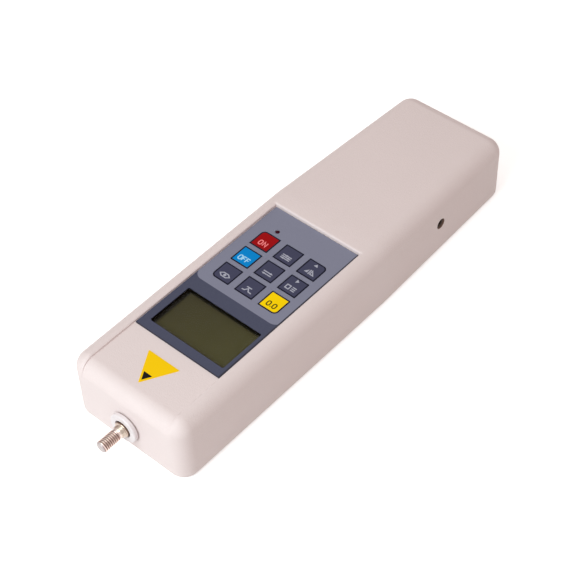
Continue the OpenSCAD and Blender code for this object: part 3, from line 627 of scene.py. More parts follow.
def caseRows():
    form = caseForm
    wall, width = filmHigh.y + form["filmGap"], form["rearLipWidth"]
    onFloor, onRoof, reach = form["floorRows"], form["roofRows"], form["crownRows"][-1]
    span = wall - form["beforeStep"] - frontCornerY
    floor = [(frontCornerY + span * i / onFloor, "floor", 0.0) for i in range(onFloor + 1)]
    section = wallSection(width, form["rearLipHeight"], width)
    step = [(wall + away, kind, off) for away, kind, off in section]
    roof = [(crownY + away, "roof", 0.0) for away in form["crownRows"]]
    roof = [row for row in roof if row[0] > step[-1][0] + form["rowGap"]]
    span = rearCornerY - crownY - reach
    rest = [(crownY + reach + span * i / onRoof, "roof", 0.0) for i in range(1, onRoof + 1)]
    return floor + step + roof + rest


def sunkBy(y, column, row):
    deep = roofZ(y) - floorZ
    return min(deep - off if kind == "floor" else off for _, kind, off in (column, row))


# Stations go once round the case: a point on the edge of the flat top, the way out, and its column or row
def caseStations(columns, rows):
    half, rear, steps = topHalf(0), topHalf(rearCornerY), caseForm["edgeSteps"]

    def corner(x, y, start):
        return [((x, y), aim(start + 90 * k / steps), None, None) for k in range(1, steps)]
    front = [((c[0], frontCornerY), (0, -1), c, None) for c in columns]
    right = [((topHalf(r[0]), r[0]), (1, 0), None, r) for r in rows]
    back = [((c[0] * rear / half, rearCornerY), (0, 1), None, None) for c in reversed(columns)]
    left = [((-topHalf(r[0]), r[0]), (-1, 0), None, r) for r in reversed(rows)]
    return [*front, *corner(half, frontCornerY, -90), *right, *corner(rear, rearCornerY, 0),
            *back, *corner(-rear, rearCornerY, 90), *left, *corner(-half, frontCornerY, 180)]


def planPoint(station, inset):
    (x, y), (dx, dy), _, _ = station
    return x + dx * (edgeR - inset), y + dy * (edgeR - inset)


# Outer rounding, level by level; in front of the panel the roof's arc blends into the floor's arc
def upperRing(stations, turn, rows):
    ring = []
    for station in stations:
        x, y = planPoint(station, edgeR * (1 - math.sin(turn)))
        z = roofZ(y) - edgeR * (1 - math.cos(turn))
        if station[3]:
            kind, off = station[3][1:]
            z -= lipDrop(x) if kind == "floor" else min(lipDrop(x), off)
        elif y <= frontCornerY:
            drop = sunkBy(frontCornerY, station[2], rows[0]) if station[2] else lipDrop(x)
            share = drop / (roofZ(frontCornerY) - floorZ)
            sunkY = frontCornerY if turn == 0 else \
                max(caseLow.y, frontCornerY - caseForm["rollOver"] - edgeR * math.sin(turn))
            y += (sunkY - y) * share
            z += (floorZ - edgeR * (1 - math.cos(turn)) - z) * share
        ring.append((x, y, z))
    return ring


# Levels of the lower half, outside and then inside: pairs of inset and height
def lowerLevels(form, quarter):
    radius, ease, rim, ledge = form["baseRadius"], form["rimEase"], form["rim"], form["rimHeight"]
    wall, chamfer = form["wall"], form["rimChamfer"]
    outer = [(radius * (1 - math.cos(turn)), radius * (1 - math.sin(turn))) for turn in quarter[::2]]
    return [*outer, (rim - ease, 0), (rim, ease), (rim, ledge), (wall + chamfer + form["rimStep"], ledge),
            (wall + chamfer, ledge + chamfer), (wall, ledge + chamfer + form["rimSlope"])]


def caseShell():
    form, columns, rows = caseForm, caseColumns(), caseRows()
    stations = caseStations(columns, rows)
    quarter = [math.radians(90 * i / form["edgeSteps"]) for i in range(form["edgeSteps"] + 1)]
    lip, past, steps = form["lipWidth"], form["wallInset"], form["filletSteps"] * 2
    first = math.acos(1 - past / lip)
    fine = [first + (math.pi / 2 - first) * i / steps for i in range(1, steps)]
    fine = [math.asin((lip * (1 - math.cos(a)) - past) / edgeR) for a in fine]
    fine = [turn for turn in fine if min(abs(turn - q) for q in quarter) > form["closest"]]
    rings = [upperRing(stations, turn, rows) for turn in sorted([*fine, *quarter])]
    rings += [[(*planPoint(s, inset), z) for s in stations] for inset, z in lowerLevels(form, quarter)]
    wall = form["wall"]
    inner = edgeR - wall
    for turn in reversed(quarter):
        inset = wall + inner * (1 - math.sin(turn))
        rings.append([(*planPoint(s, inset), roofZ(planPoint(s, inset)[1]) - form["roof"]
                       - inner * (1 - math.cos(turn))) for s in stations])
    shape = loft(rings, False, False)

    def sheet(height):
        grid = [[shape.verts.new((c[0] * topHalf(r[0]) / topHalf(0), r[0], height(c, r))) for c in columns]
                for r in rows]
        for a, b in zip(grid, grid[1:]):
            for i in range(len(columns) - 1):
                shape.faces.new((a[i], a[i + 1], b[i + 1], b[i]))
    sheet(lambda c, r: roofZ(r[0]) - sunkBy(r[0], c, r))
    sheet(lambda c, r: roofZ(r[0]) - form["roof"])
    return cleaned(shape)


# Outline of a key pad: the corner at the outside of the block of nine is rounder
padForm = {"corner": 0.25, "outerCorner": 2.3, "ease": 0.06, "border": 0.62, "ink": 0.02, "line": 0.55}
keyNames = [["key_on", "key_set", "key_up"],
            ["key_off", "key_unit", "key_down"],
            ["key_view", "key_peak", "key_zero"]]


def padOutline(node, inset):
    low, high = boxOf(node)
    row = [node in names for names in keyNames].index(True)
    column = keyNames[row].index(node)
    outer = {(0, 2): 1, (0, 0): 2, (2, 0): 3, (2, 2): 0}.get((row, column))
    radii = [padForm["outerCorner"] if k == outer else padForm["corner"] for k in range(4)]
    return roundedOutline(low, high, radii, inset)


# Bosses, ribs and the cradle of the socket
def caseSupports(form, boardTop, jackLow, jackHigh):
    adds = []
    for low, high in solidsOf("case_screws"):
        middle = (low + high) / 2
        side = 1 if low.x > 0 else -1
        top = roofZ(middle.y) - form["roof"] / 2
        adds.append(rod(form["boss"] / 2, form["rimHeight"], top, (middle.x, middle.y, 0)))
        reach = sorted((middle.x, side * (topHalf(middle.y) + edgeR - form["wall"] / 2)))
        adds.append(block((reach[0], middle.y - form["rib"] / 2, top / 3),
                          (reach[1], middle.y + form["rib"] / 2, top - edgeR)))
    for low, high in solidsOf("board_screws"):
        middle = (low + high) / 2
        adds.append(rod(form["boardBoss"] / 2, boardTop, roofZ(middle.y) - form["roof"] / 2,
                        (middle.x, middle.y, 0)))
    top, gap, rib = roofZ(jackHigh.y) - edgeR, form["filmGap"], form["rib"]
    for side in (jackLow.y - gap - rib, jackHigh.y + gap):
        adds.append(block((jackLow.x, side, jackLow.z), (jackHigh.x, side + rib, top)))
    adds.append(block((jackLow.x, jackLow.y - gap - rib, jackHigh.z + gap),
                      (jackHigh.x, jackHigh.y + gap + rib, top)))
    return adds


# Openings for the keys, the lamp, the display, the collar, the socket and the screws
def caseOpenings(form, boardTop, jackMiddle, outside, back):
    more = form["overrun"]
    over = caseHigh.z + more
    cuts = []
    for node in sum(keyNames, []):
        cuts.append(layered(lambda inset: padOutline(node, inset),
                            [(-form["padGap"], floorZ - form["pocket"]), (-form["padGap"], over)]))
        cuts.append(rod(form["plungerHole"] / 2, boardTop, over, planMiddle(*boxOf(node))))
    cuts.append(rod(form["lightHole"] / 2, boardTop, over, planMiddle(*boxOf("light_pipe"))))
    for node, gap in (("display_window", form["paneGap"]), ("lcd_glass", form["glassGap"])):
        low, high = boxOf(node)
        cuts.append(block(low - Vector((gap, gap, 0)), Vector((high.x + gap, high.y + gap, over))))
    cuts.append(rod(form["spigot"], caseLow.y - more, caseLow.y + form["wall"] + more, (0, 0, axisZ), "Y"))
    hole, ease = form["socketHole"] / 2, form["socketEase"]
    rim = [(hole + ease - ease * up, outside - ease + ease * across)
           for across, up in map(aim, (90, 68, 45, 22, 0))]
    mouth = lathe([(0, back), (hole, back), *rim, (hole + ease, outside + more), (0, outside + more)])
    cuts.append(moved(mouth, (0, jackMiddle.y, jackMiddle.z), "X"))
    screws = (("case_screws", form["bossPilot"], form["rimHeight"], form["bossDeeper"]),
              ("board_screws", form["boardPilot"], boardTop, form["boardDeeper"]))
    for node, pilot, low, deeper in screws:
        for first, last in solidsOf(node):
            cuts.append(rod(pilot, low - more, last.z + deeper, planMiddle(first, last), steps=24))
    return cuts


def makeCase(form):
    boardTop = boxOf("main_board")[1].z
    jackLow, jackHigh = boxOf("charge_jack")
    jackMiddle = (jackLow + jackHigh) / 2
    outside = topHalf(jackMiddle.y) + edgeR
    back = outside - form["wall"] - form["overrun"]
    shape = combined(caseShell(), caseSupports(form, boardTop, jackLow, jackHigh), "UNION")
    shape = combined(shape, caseOpenings(form, boardTop, jackMiddle, outside, back), "DIFFERENCE")
    # Faces on the wall of the socket hole take the painted shade
    within = form["socketHole"] / 2 + form["socketEase"] * 0.3
    for face in shape.faces:
        inHole = all(math.hypot(v.co.y - jackMiddle.y, v.co.z - jackMiddle.z) < within and v.co.x > back
                     for v in face.verts)
        face.material_index = 1 if inHole else 0
    return shape


addPiece("case_moulding", makeCase(caseForm), "upper_case", ["case_plastic", "hole_shade"], sharp=38)
print("case made")


# Panel film: printed dark round the display and grey round the keys, with painted shade along its right and
# front rims, where the panel walls shade it
filmForm = {
    "dark": (0.050, 0.053, 0.092),
    "grey": (0.215, 0.215, 0.285),
    "rough": (0.37, 0.47),
    "specular": 0.25,
    "patch": 30.0,
    "worn": 0.06,  # share of the paler wear in the ink
    "zoneFront": -45.9,  # the grey print begins here
    "zoneOver": 0.1,  # past both sides of the film
    "zoneRadius": 4.6,
    "softness": 0.12,
    "edge": (0.020, 0.017, 0.028),  # painted shade along the right and front rims of the film, where the panel walls shade it, widest along the right wall
    "wallShadeRight": 0.9,
    "wallShadeFront": 0.25,
    "edgeRadius": 0.6,
    "wallShadeSoftness": 0.35,
    "grain": 0.25,
    "grainDepth": 0.012,
    "ease": 0.05,
    "corner": 0.4,
    "windowCorner": 0.7,
    "windowLip": 2.2,  # of the pane under the film, all round
    "sideGap": 0.12,  # drawn in from the left wall
    "wallGap": 0.02,  # from the right one
    "keyGap": 0.1,
    "lampGap": 0.24,
}


def filmMaterial(name, values):
    material, sheet, place = startMaterial(name, {"Specular IOR Level": values["specular"]})
    half = (filmHigh - filmLow) / 2
    reach = (filmHigh.y - values["zoneFront"]) / 2 + values["zoneRadius"]
    grey = useGroup(sheet, "zone", place, {
        "Centre": (0.0, values["zoneFront"] + reach, 0.0),
        "Half size": (half.x + values["zoneOver"], reach, 0.0),
        "Radius": values["zoneRadius"], "Softness": values["softness"]})["Mask"]
    past = 2 * half.y
    # Mask of the painted wall shade: 0 at the right and front rims of the film, 1 inside
    right, front = filmHigh.x - values["wallShadeRight"], filmLow.y + values["wallShadeFront"]
    inner = useGroup(sheet, "zone", place, {
        "Centre": (right - past, front + past, 0.0), "Half size": (past, past, 0.0),
        "Radius": values["edgeRadius"], "Softness": values["wallShadeSoftness"]})["Mask"]
    grains = useGroup(sheet, "grain", place, {"Size": values["grain"]})
    patches = useGroup(sheet, "patch", place, {"Size": values["patch"]})
    # The print, with the painted wall shade laid over it at the rims
    ink = mixColours(sheet, inner, values["edge"], mixColours(sheet, grey, values["dark"], values["grey"]))
    worn = mixColours(sheet, grains["Mask"], shade(values["dark"], 0.9), values["grey"])
    printed = mixColours(sheet, values["worn"], ink, worn)
    return endMaterial(material, printed, patches, values["rough"], grains["Height"], values["grainDepth"])


def makeFilm(values):
    low, high = filmLow, filmHigh
    windowLow, windowHigh = boxOf("display_window")
    gap, lip = values["sideGap"], values["windowLip"]
    drawnIn = Vector((values["wallGap"], gap / 2, 0))
    loops = [roundedOutline(low + Vector((gap, 0, 0)), high - drawnIn, [values["corner"]] * 4),
             roundedOutline(windowLow, windowHigh, [values["windowCorner"] + lip] * 4, lip)]
    loops += [padOutline(node, -values["keyGap"]) for node in sum(keyNames, [])]
    lampLow, lampHigh = boxOf("light_pipe")
    middle = (lampLow + lampHigh) / 2
    radius = (lampHigh.x - lampLow.x) / 2 + values["lampGap"]
    loops.append(arc(middle, radius, 0, 345, 23))
    return sheetWithHoles(loops, low.z, high.z, values["ease"])


materials["overlay_film"] = filmMaterial("overlay film", filmForm)
addPiece("panel_film", makeFilm(filmForm), "keypad_overlay", ["overlay_film"])
print("film made")


# Keys: printed pads with a dark outline and light generic marks, in millimetres from the middle of the pad
keyColours = {
    "key_red": (0.34, 0.002, 0.004),
    "key_blue": (0.0, 0.235, 0.62),
    "key_yellow": (1.0, 0.66, 0.0),
    "key_dark": (0.058, 0.058, 0.102),
    "key_outline": (0.008, 0.008, 0.020),
    "ink_light": (0.42, 0.42, 0.49),
    "ink_red": (0.98, 0.24, 0.25),
    "ink_blue": (0.40, 0.70, 0.90),
    "ink_dark": (0.05, 0.04, 0.004),
}
for look, colour in keyColours.items():
    materials[look] = plasticMaterial(look.replace("_", " "), colour, rough=0.42, grain=0.25, depth=0.012,
                                      tint=0.03, gloss=0.04, specular=0.07)

letterO = [(0.45, 0), (1.15, 0), (1.6, 0.5), (1.6, 2.1), (1.15, 2.6), (0.45, 2.6), (0, 2.1), (0, 0.5)]
letterN = [(0, 0), (0, 2.6), (1.6, 0), (1.6, 2.6)]
letterF = [(0, 0), (0, 2.6), (1.5, 2.6)]
barOfF = [(0.2, 1.4), (1.25, 1.4)]


# Letters stand 2.85 mm in front of the middle
def shifted(points, u, v=-2.85):
    return [(x + u, y + v) for x, y in points]


# Open lines, closed lines and filled shapes
keyMarks = {
    "key_on": ([shifted(letterN, 0.5)], [shifted(letterO, -2.1)], []),
    "key_off": ([shifted(line, u) for u in (-0.75, 1.35) for line in (letterF, barOfF)],
                [shifted(letterO, -2.95)], []),
    "key_zero": ([], [shifted(letterO, -2.4), shifted(letterO, 0.8)],
                 [[(-0.25, -2.9), (0.25, -2.9), (0.25, -2.4), (-0.25, -2.4)]]),
    "key_set": ([[(-2.6, v), (2.6, v)] for v in (-2.6, -1.6, -0.6)], [],
                [shifted([(-0.45, -0.45), (0.45, -0.45), (0.45, 0.45), (-0.45, 0.45)], u, v)
                 for u, v in ((-1.2, -2.6), (1.3, -1.6), (-0.2, -0.6))]),
    "key_unit": ([[(-2.6, -0.9), (1.6, -0.9)], [(-1.6, -2.2), (2.6, -2.2)]], [],
                 [[(1.3, -1.5), (2.7, -0.9), (1.3, -0.3)], [(-1.3, -2.8), (-1.3, -1.6), (-2.7, -2.2)]]),
    "key_view": ([], [[(-2.7, -1.55), (-1.3, -0.45), (1.3, -0.45), (2.7, -1.55), (1.3, -2.65),
                       (-1.3, -2.65)]],
                 [arc((0, -1.55), 0.75, 0, 315, 7)]),
    "key_peak": ([[(-2.7, -2.7), (-1.3, -2.5), (-0.2, -0.9), (0.9, -2.5), (2.7, -2.7)],
                  [(-1.6, -0.25), (1.2, -0.25)]], [], []),
    "key_up": ([[(0, -3.0), (0, -0.1)]], [[(0.8, -2.6), (2.6, -2.6), (0.8, -0.4)]],
               [[(-0.8, -2.6), (-0.8, -0.4), (-2.6, -2.6)], [(-1.1, 2.5), (1.1, 2.5), (0, 4.1)]]),
    "key_down": ([[(0.4, v), (2.6, v)] for v in (-2.6, -1.6, -0.6)],
                 [[(-2.6, -2.7), (-0.6, -2.7), (-0.6, -0.5), (-2.6, -0.5)]],
                 [[(-0.8, 2.2), (0.8, 3.3), (-0.8, 4.4)]]),
}


def makePad(node):
    low, high = boxOf(node)
    form = padForm
    levels = [(0, low.z), (0, high.z - form["ease"]), (form["ease"], high.z), (form["border"], high.z)]
    shape = layered(lambda inset: padOutline(node, inset), levels, capLook=1)
    middle = (low + high) / 2
    bottom, top = high.z - form["ink"] / 2, high.z + form["ink"] / 2
    opened, closed, filled = ([shifted(points, middle.x, middle.y) for points in marks]
                              for marks in keyMarks[node])
    # Marks that cross get tops of their own
    rise = form["ink"] / 8
    for i, points in enumerate(opened):
        stroke(shape, points, form["line"], bottom, top + i * rise, look=2)
    for points in closed:
        stroke(shape, points, form["line"], bottom, top, look=2, closed=True)
    for points in filled:
        flatMark(shape, points, bottom, top + len(opened) * rise, look=2)
    return shape


inkOf = {"key_red": "ink_red", "key_blue": "ink_blue", "key_yellow": "ink_dark", "key_dark": "ink_light"}
for node in keyMarks:
    face = slotOf[node]
    addPiece("pad_" + node[4:], makePad(node), node, ["key_outline", face, inkOf[face]])
print("keys made")


# Display: clear pane over an unlit olive glass with a dark margin; painted shadow of the film's edge widens
# the margin along the left and rear, and the olive is painted lighter towards the front right
displayForm = {
    "olive": (0.041, 0.0335, 0.0100),
    "oliveLit": (0.062, 0.055, 0.0165),
    # Dark margin of the glass all round, with painted shadow of the film's edge in it along the left and
    # rear
    "margin": (0.006, 0.004, 0.002),
    "marginWidth": 1.35,
    "shadowMore": (1.2, 0.2),  # painted shadow of the film's edge, widening the margin along the left and the rear edge
    "softness": 1.3,
    "litSpan": (-25.0, 30.0),  # mm across the glass, over which the olive gets lighter: painted light towards the front right, painted shade towards the rear left
    "cloud": 0.07,  # share of the slow dark patches
    "patch": 14.0,
    "grain": 0.2,
    "grainDepth": 0.0003,
    "specular": 0.12,
    "rough": (0.28, 0.36),
    "ease": 0.12,
    "corner": 0.3,
}
paneForm = {"clear": (0.95, 0.96, 0.95), "dusty": (0.85, 0.85, 0.84), "patch": 8.0, "refraction": 1.3,
            "alpha": 0.07, "rough": (0.02, 0.06), "ease": 0.06, "corner": 0.8}


def displayMaterial(name, values):
    low, high = boxOf("lcd_glass")
    middle, half = (low + high) / 2, (high - low) / 2
    material, sheet, place = startMaterial(name, {"Specular IOR Level": values["specular"]})
    left, rear = values["shadowMore"]
    width = values["marginWidth"]
    # Inside the dark margin, which is widened along the left and rear by painted shadow
    inside = useGroup(sheet, "zone", place, {
        "Centre": (middle.x + left / 2, middle.y - rear / 2, 0.0),
        "Half size": (half.x - width - left / 2, half.y - width - rear / 2, 0.0),
        "Radius": values["softness"], "Softness": values["softness"]})["Mask"]
    parts = partsOf(sheet, place)
    across = calc(sheet, "SUBTRACT", parts[0], parts[1])
    # Painted light and shade: the olive is darker towards the rear left and lighter towards the front right
    litShare = rangeOf(sheet, across, *((middle.x - middle.y + end) * mm for end in values["litSpan"]))
    patches = useGroup(sheet, "patch", place, {"Size": values["patch"]})
    grains = useGroup(sheet, "grain", place, {"Size": values["grain"]})
    olive = mixColours(sheet, litShare, values["olive"], values["oliveLit"])
    cloud = calc(sheet, "MULTIPLY", patches["Mask"], values["cloud"])
    glass = mixColours(sheet, inside, values["margin"], mixColours(sheet, cloud, olive, values["margin"]))
    return endMaterial(material, glass, patches, values["rough"], grains["Height"], values["grainDepth"])


def paneMaterial(name, values):
    fixed = {"Transmission Weight": 1.0, "IOR": values["refraction"], "Alpha": values["alpha"]}
    material, sheet, place = startMaterial(name, fixed)
    patches = useGroup(sheet, "patch", place, {"Size": values["patch"]})
    dusted = mixColours(sheet, patches["Specks"], values["clear"], values["dusty"])
    return endMaterial(material, dusted, patches, values["rough"])


def makePane(node, values):
    return block(*boxOf(node), values["ease"], values["corner"])


materials["display_glass"] = displayMaterial("display glass", displayForm)
materials["clear_pane"] = paneMaterial("clear pane", paneForm)
addPiece("display_pane", makePane("display_window", paneForm), "display_window", ["clear_pane"])
addPiece("display_glass", makePane("lcd_glass", displayForm), "lcd_glass", ["display_glass"])


# Lamp: a red light guide with a domed end, flush with the film
lampForm = {"colour": (0.040, 0.0, 0.009), "dome": 0.12, "domeSteps": 6}
materials["lamp_red"] = plasticMaterial(
    "lamp lens", lampForm["colour"], rough=0.2, depth=0.006, tint=0.15, patch=1.6, specular=0.06)


def makeLamp(values):
    low, high = boxOf("light_pipe")
    radius, steps = (high.x - low.x) / 2, values["domeSteps"]
    profile = [(0, low.z), (radius, low.z)]
    for i in range(steps + 1):
        across, up = aim(90 * i / steps)
        profile.append((radius * across if i < steps else 0, high.z - values["dome"] * (1 - up)))
    middle = (low + high) / 2
    return moved(lathe(profile, 40), (middle.x, middle.y, 0))


addPiece("status_lens", makeLamp(lampForm), "light_pipe", ["lamp_red"])


# Pointer: a yellow sticker whose tip points at the stud, with a small black tip
pointerForm = {"yellow": (0.95, 0.585, 0.0), "black": (0.004, 0.003, 0.002), "corner": 0.25, "ease": 0.04,
               "tipSide": 4.8, "tipInset": 1.9, "tipCorner": 0.12, "tipDepth": 0.01, "tipProud": 0.012}
materials["decal_yellow"] = plasticMaterial(
    "pointer yellow", pointerForm["yellow"], rough=0.38, depth=0.008, tint=0.02, specular=0.12)
materials["decal_black"] = plasticMaterial(
    "pointer black", pointerForm["black"], rough=0.38, depth=0.008, specular=0.1)


# Triangle that points to the front; its corners are rounded
def pointerOutline(tip, side, inset, radius, steps=5):
    height = side * math.sin(math.radians(60))
    centreY = tip + height * 2 / 3
    reach = height * 2 / 3 - inset * 2
    points = []
    for way in (-90, 30, 150):
        across, up = aim(way)
        centre = ((reach - 2 * radius) * across, centreY + (reach - 2 * radius) * up)
        points += arc(centre, radius, way - 60, way + 60, steps)
    return points


def makePointer(values):
    low, high = boxOf("pointer_decal")
    shape = layered(lambda inset: pointerOutline(low.y, high.x - low.x, inset, values["corner"]),
                    [(0, low.z), (0, high.z - values["ease"]), (values["ease"], high.z)])
    tip = pointerOutline(low.y + values["tipInset"], values["tipSide"], 0, values["tipCorner"])
    flatMark(shape, tip, high.z - values["tipDepth"], high.z + values["tipProud"], look=1)
    return shape


addPiece("pointer", makePointer(pointerForm), "pointer_decal", ["decal_yellow", "decal_black"])
print("display, lamp and pointer made")


# Front collar and force shaft, both turned round the axis of the stud
shaftForm = {
    "pitch": 1.0,
    "threadRadius": 3.0,
    "rootRadius": 2.42,
    "tipRadius": 1.75,  # of the flat in the middle of the domed tip
    "tipSlope": 1.4,
    "threadLength": 9.75,
    "runOut": 1.3,
    "neckLength": 2.35,
    "neckEase": 0.15,
    "shoulderRadius": 3.9,
    "shoulderEase": 0.5,
    "bodyEase": 0.3,
    "tailRadius": 2.5,  # of the end in the load cell
    "tailEase": 0.4,
    "steps": 64,
    "nickel": (0.92, 0.775, 0.715),
    "shoulder": (0.52, 0.42, 0.35),
    "tip": (0.46, 0.40, 0.395),
    # Painted shade: the crests on the side turned away, the thread roots, and those roots on the side
    # turned away
    "turned": (0.20, 0.105, 0.078),
    "root": (0.21, 0.085, 0.056),
    "darkRoot": (0.012, 0.007, 0.005),
    "shadowed": (0.30, 0.20, 0.15),
    # Painted highlight: paler crests and roots where the round sides face up, standing in for the lamp's
    # reflection
    "highlightRoot": (0.60, 0.42, 0.34),
    "paintedHighlight": (1.0, 0.92, 0.88),
    "shadeWay": (-0.86, 0.0, 0.51),  # painted shade on the round sides that turn this way, painted highlight on those that turn that way
    "highlightWay": (0.12, 0.0, 0.993),
    "dulledAndShaded": 0.6,  # shares of the painted shade on the side turned away and of the dark specks
    "specks": 0.5,
    "patch": 3.0,
    "rough": (0.16, 0.26),
    "lineDepth": 0.003,
}
collarForm = {
    "radius": 7.4,
    "bore": 4.35,
    "spigot": 5.85,
    "proud": 2.55,  # of the front face of the case
    "outerEase": 0.75,
    "boreEase": 0.2,
    "seam": 0.6,  # gap between the ring and the case
    "seamDepth": 1.2,
    "seamEase": 0.04,
    "spigotEase": 0.3,
    "steps": 96,
}


# Nickel with painted shade in the thread roots and where the round sides turn away, and a painted highlight
# where they face up
def studMaterial(name, values):
    material, sheet, place = startMaterial(name, {"Metallic": 1.0})
    lines = useGroup(sheet, "brush", place, {"Stretch": (0.5, 8.0, 0.5)})
    patches = useGroup(sheet, "patch", place, {"Size": values["patch"]})
    # Millimetres from the axis and from the tip
    parts = partsOf(sheet, place)
    far = lengthOf(sheet, parts[0], calc(sheet, "SUBTRACT", parts[2], axisZ * mm))
    along = calc(sheet, "DIVIDE", calc(sheet, "SUBTRACT", parts[1], shaftLow.y * mm), mm)
    flank = (values["rootRadius"] + values["threadRadius"]) / 2
    end, sunk = values["threadLength"], values["threadLength"] + values["neckLength"]
    # Crests keep the nickel; the thread roots take the painted shade
    crest = rangeOf(sheet, far, (flank - 0.02) * mm, (flank + 0.1) * mm)
    for plain in (rangeOf(sheet, along, 0.75, 0.45), rangeOf(sheet, along, end - 0.7, end - 0.2)):
        crest = calc(sheet, "MAXIMUM", crest, plain)
    atTip = rangeOf(sheet, along, 0.8, 0.5)
    onNeck = rangeOf(sheet, along, end - 0.2, end + 0.8)
    inside = rangeOf(sheet, along, sunk + 0.15, sunk + 0.4)
    way = addNode(sheet, "ShaderNodeTexCoord").outputs["Normal"]
    # Painted shade on the round sides that turn away from the lamp
    away = rangeOf(sheet, vectorCalc(sheet, "DOT_PRODUCT", way, values["shadeWay"], "Value"), 0.5, 0.85)
    # Painted highlight on the round sides that face up
    highlightMask = rangeOf(sheet, vectorCalc(sheet, "DOT_PRODUCT", way, values["highlightWay"], "Value"), 0.92, 0.99)
    bright = mixColours(sheet, lines["Mask"], shade(values["nickel"], 0.92), shade(values["nickel"], 1.06))
    for mask, look in ((highlightMask, "paintedHighlight"), (onNeck, "shoulder"), (atTip, "tip")):
        bright = mixColours(sheet, mask, bright, values[look])
    # The crests and the roots are painted darker where the sides turn away
    dulledAndShaded = calc(sheet, "MULTIPLY", away, values["dulledAndShaded"])
    turned = mixColours(sheet, dulledAndShaded, bright, values["turned"])
    lit = mixColours(sheet, highlightMask, values["root"], values["highlightRoot"])
    grooves = mixColours(sheet, away, lit, values["darkRoot"])
    base = mixColours(sheet, inside, mixColours(sheet, crest, grooves, turned), values["shadowed"])
    specks = calc(sheet, "MULTIPLY", patches["Specks"], values["specks"])
    specked = mixColours(sheet, specks, base, values["root"])
    return endMaterial(material, specked, patches, values["rough"], lines["Height"], values["lineDepth"])


materials["stud_nickel"] = studMaterial("stud nickel", shaftForm)


# Thread: one ridge that winds round, cut off by the domed tip and running out at the neck
def threadShape(values):
    pitch, steps, root, end = (values[k] for k in ("pitch", "steps", "rootRadius", "threadLength"))
    # Share of a turn, and the height of the ridge there
    section = [(0.0, 0.0), (0.13, 0.0), (0.19, 0.12), (0.30, 0.55), (0.40, 0.93), (0.45, 1.0), (0.55, 1.0),
               (0.60, 0.93), (0.70, 0.55), (0.81, 0.12), (0.87, 0.0)]
    turns = math.ceil(end / pitch) + 2
    rows = [((turn - 1.5 + share) * pitch, height)
            for turn in range(turns + 1) for share, height in section]

    def point(row, i):
        place, height = rows[row]
        z = min(max(place + pitch * i / steps, 0.0), end)
        fade = min(1.0, (end - z) / values["runOut"])
        radius = min(root + (values["threadRadius"] - root) * height * fade,
                     values["tipRadius"] + values["tipSlope"] * math.sqrt(z))
        angle = 2 * math.pi * i / steps
        return radius * math.cos(angle), radius * math.sin(angle), z
    shape = bmesh.new()
    grid = [[shape.verts.new(point(row, i)) for i in range(steps)] for row in range(len(rows))]
    for row in range(len(rows) - 1):
        for i in range(steps):
            # The last column joins the first one a turn further on
            over = row + len(section) if i == steps - 1 else row
            if over + 1 < len(rows):
                j = (i + 1) % steps
                shape.faces.new((grid[row][i], grid[over][j], grid[over + 1][j], grid[row + 1][i]))
    return shape


def makeShaft(values):
    steps, root, end, neck = (values[k] for k in ("steps", "rootRadius", "threadLength", "threadRadius"))
    wide, ease, tail = values["shoulderRadius"], values["shoulderEase"], values["tailRadius"]
    shoulder = end + values["neckLength"]
    full = shaftHigh.y - shaftLow.y
    nutEnd = -boxOf("shaft_lock_nut")[0].y
    body = -shaftLow.y - nutEnd
    turn = [(wide - ease + ease * up, shoulder + ease - ease * across)
            for across, up in map(aim, (0, 22, 45, 68, 90))]
    shape = joined(threadShape(values), lathe([(0, 0), (values["tipRadius"], 0)], steps))
    joined(shape, lathe([
        (root, end), (root + 0.1, end + 0.25), (neck - 0.04, end + 0.75), (neck, end + 0.9),
        (neck, shoulder - values["neckEase"]), (neck + values["neckEase"], shoulder), *turn,
        (wide, body - values["bodyEase"]), (wide - values["bodyEase"], body), (tail, body),
        (tail, full - values["tailEase"]), (tail - values["tailEase"], full), (0, full)], steps))
    return moved(cleaned(shape, 0.001), (0, shaftLow.y, axisZ), "Y")


def makeCollar(values):
    low, high = boxOf("front_collar")
    length, outer, bore, spigot = high.y - low.y, values["radius"], values["bore"], values["spigot"]
    proud, ease, groove = values["proud"], values["seamEase"], outer - values["seamDepth"]
    seam, tail = proud - values["seam"], values["spigotEase"]
    edge, mouth = values["outerEase"], values["boreEase"]
    profile = [*arc((outer - edge, edge), edge, -90, 0, 6),
               (outer, seam - ease), (outer - ease, seam), (groove, seam), (groove, proud), (spigot, proud),
               (spigot, length - tail), (spigot - tail, length), (bore, length),
               *arc((bore + mouth, mouth), mouth, 180, 270, 4)]
    return moved(cleaned(lathe([*profile, profile[0]], values["steps"])), (0, low.y, axisZ), "Y")


addPiece("force_stud", makeShaft(shaftForm), "force_shaft", ["stud_nickel"], sharp=50)
addPiece("collar", makeCollar(collarForm), "front_collar", ["collar_plastic"], sharp=50)


# Charging socket behind the hole in the side
socketForm = {"bore": 1.8, "boreDepth": 8.0, "nose": 2.5, "noseLength": 1.9, "ease": 0.3, "overlap": 1.0,
              "bodyEase": 0.35, "bodyCorner": 0.5, "steps": 48}


def makeSocket(values):
    low, high = boxOf("charge_jack")
    middle, tip = (low + high) / 2, high.x
    face, deep = tip - values["noseLength"], tip - values["boreDepth"]
    root, nose, bore, ease = face - values["overlap"], values["nose"], values["bore"], values["ease"]
    body = block(low, (face, high.y, high.z), values["bodyEase"], values["bodyCorner"])
    barrel = lathe([(0, root), (nose, root), (nose, tip - ease * 0.5), (nose - ease * 0.5, tip), (0, tip)],
                   values["steps"])
    cutter = lathe([(0, deep), (bore, deep), (bore, tip - ease), (bore + ease * 1.5, tip + ease * 0.5),
                    (0, tip + ease * 0.5)], values["steps"])
    place = (0, middle.y, middle.z)
    body = combined(body, [moved(barrel, place, "X")], "UNION")
    return combined(body, [moved(cutter, place, "X")], "DIFFERENCE")


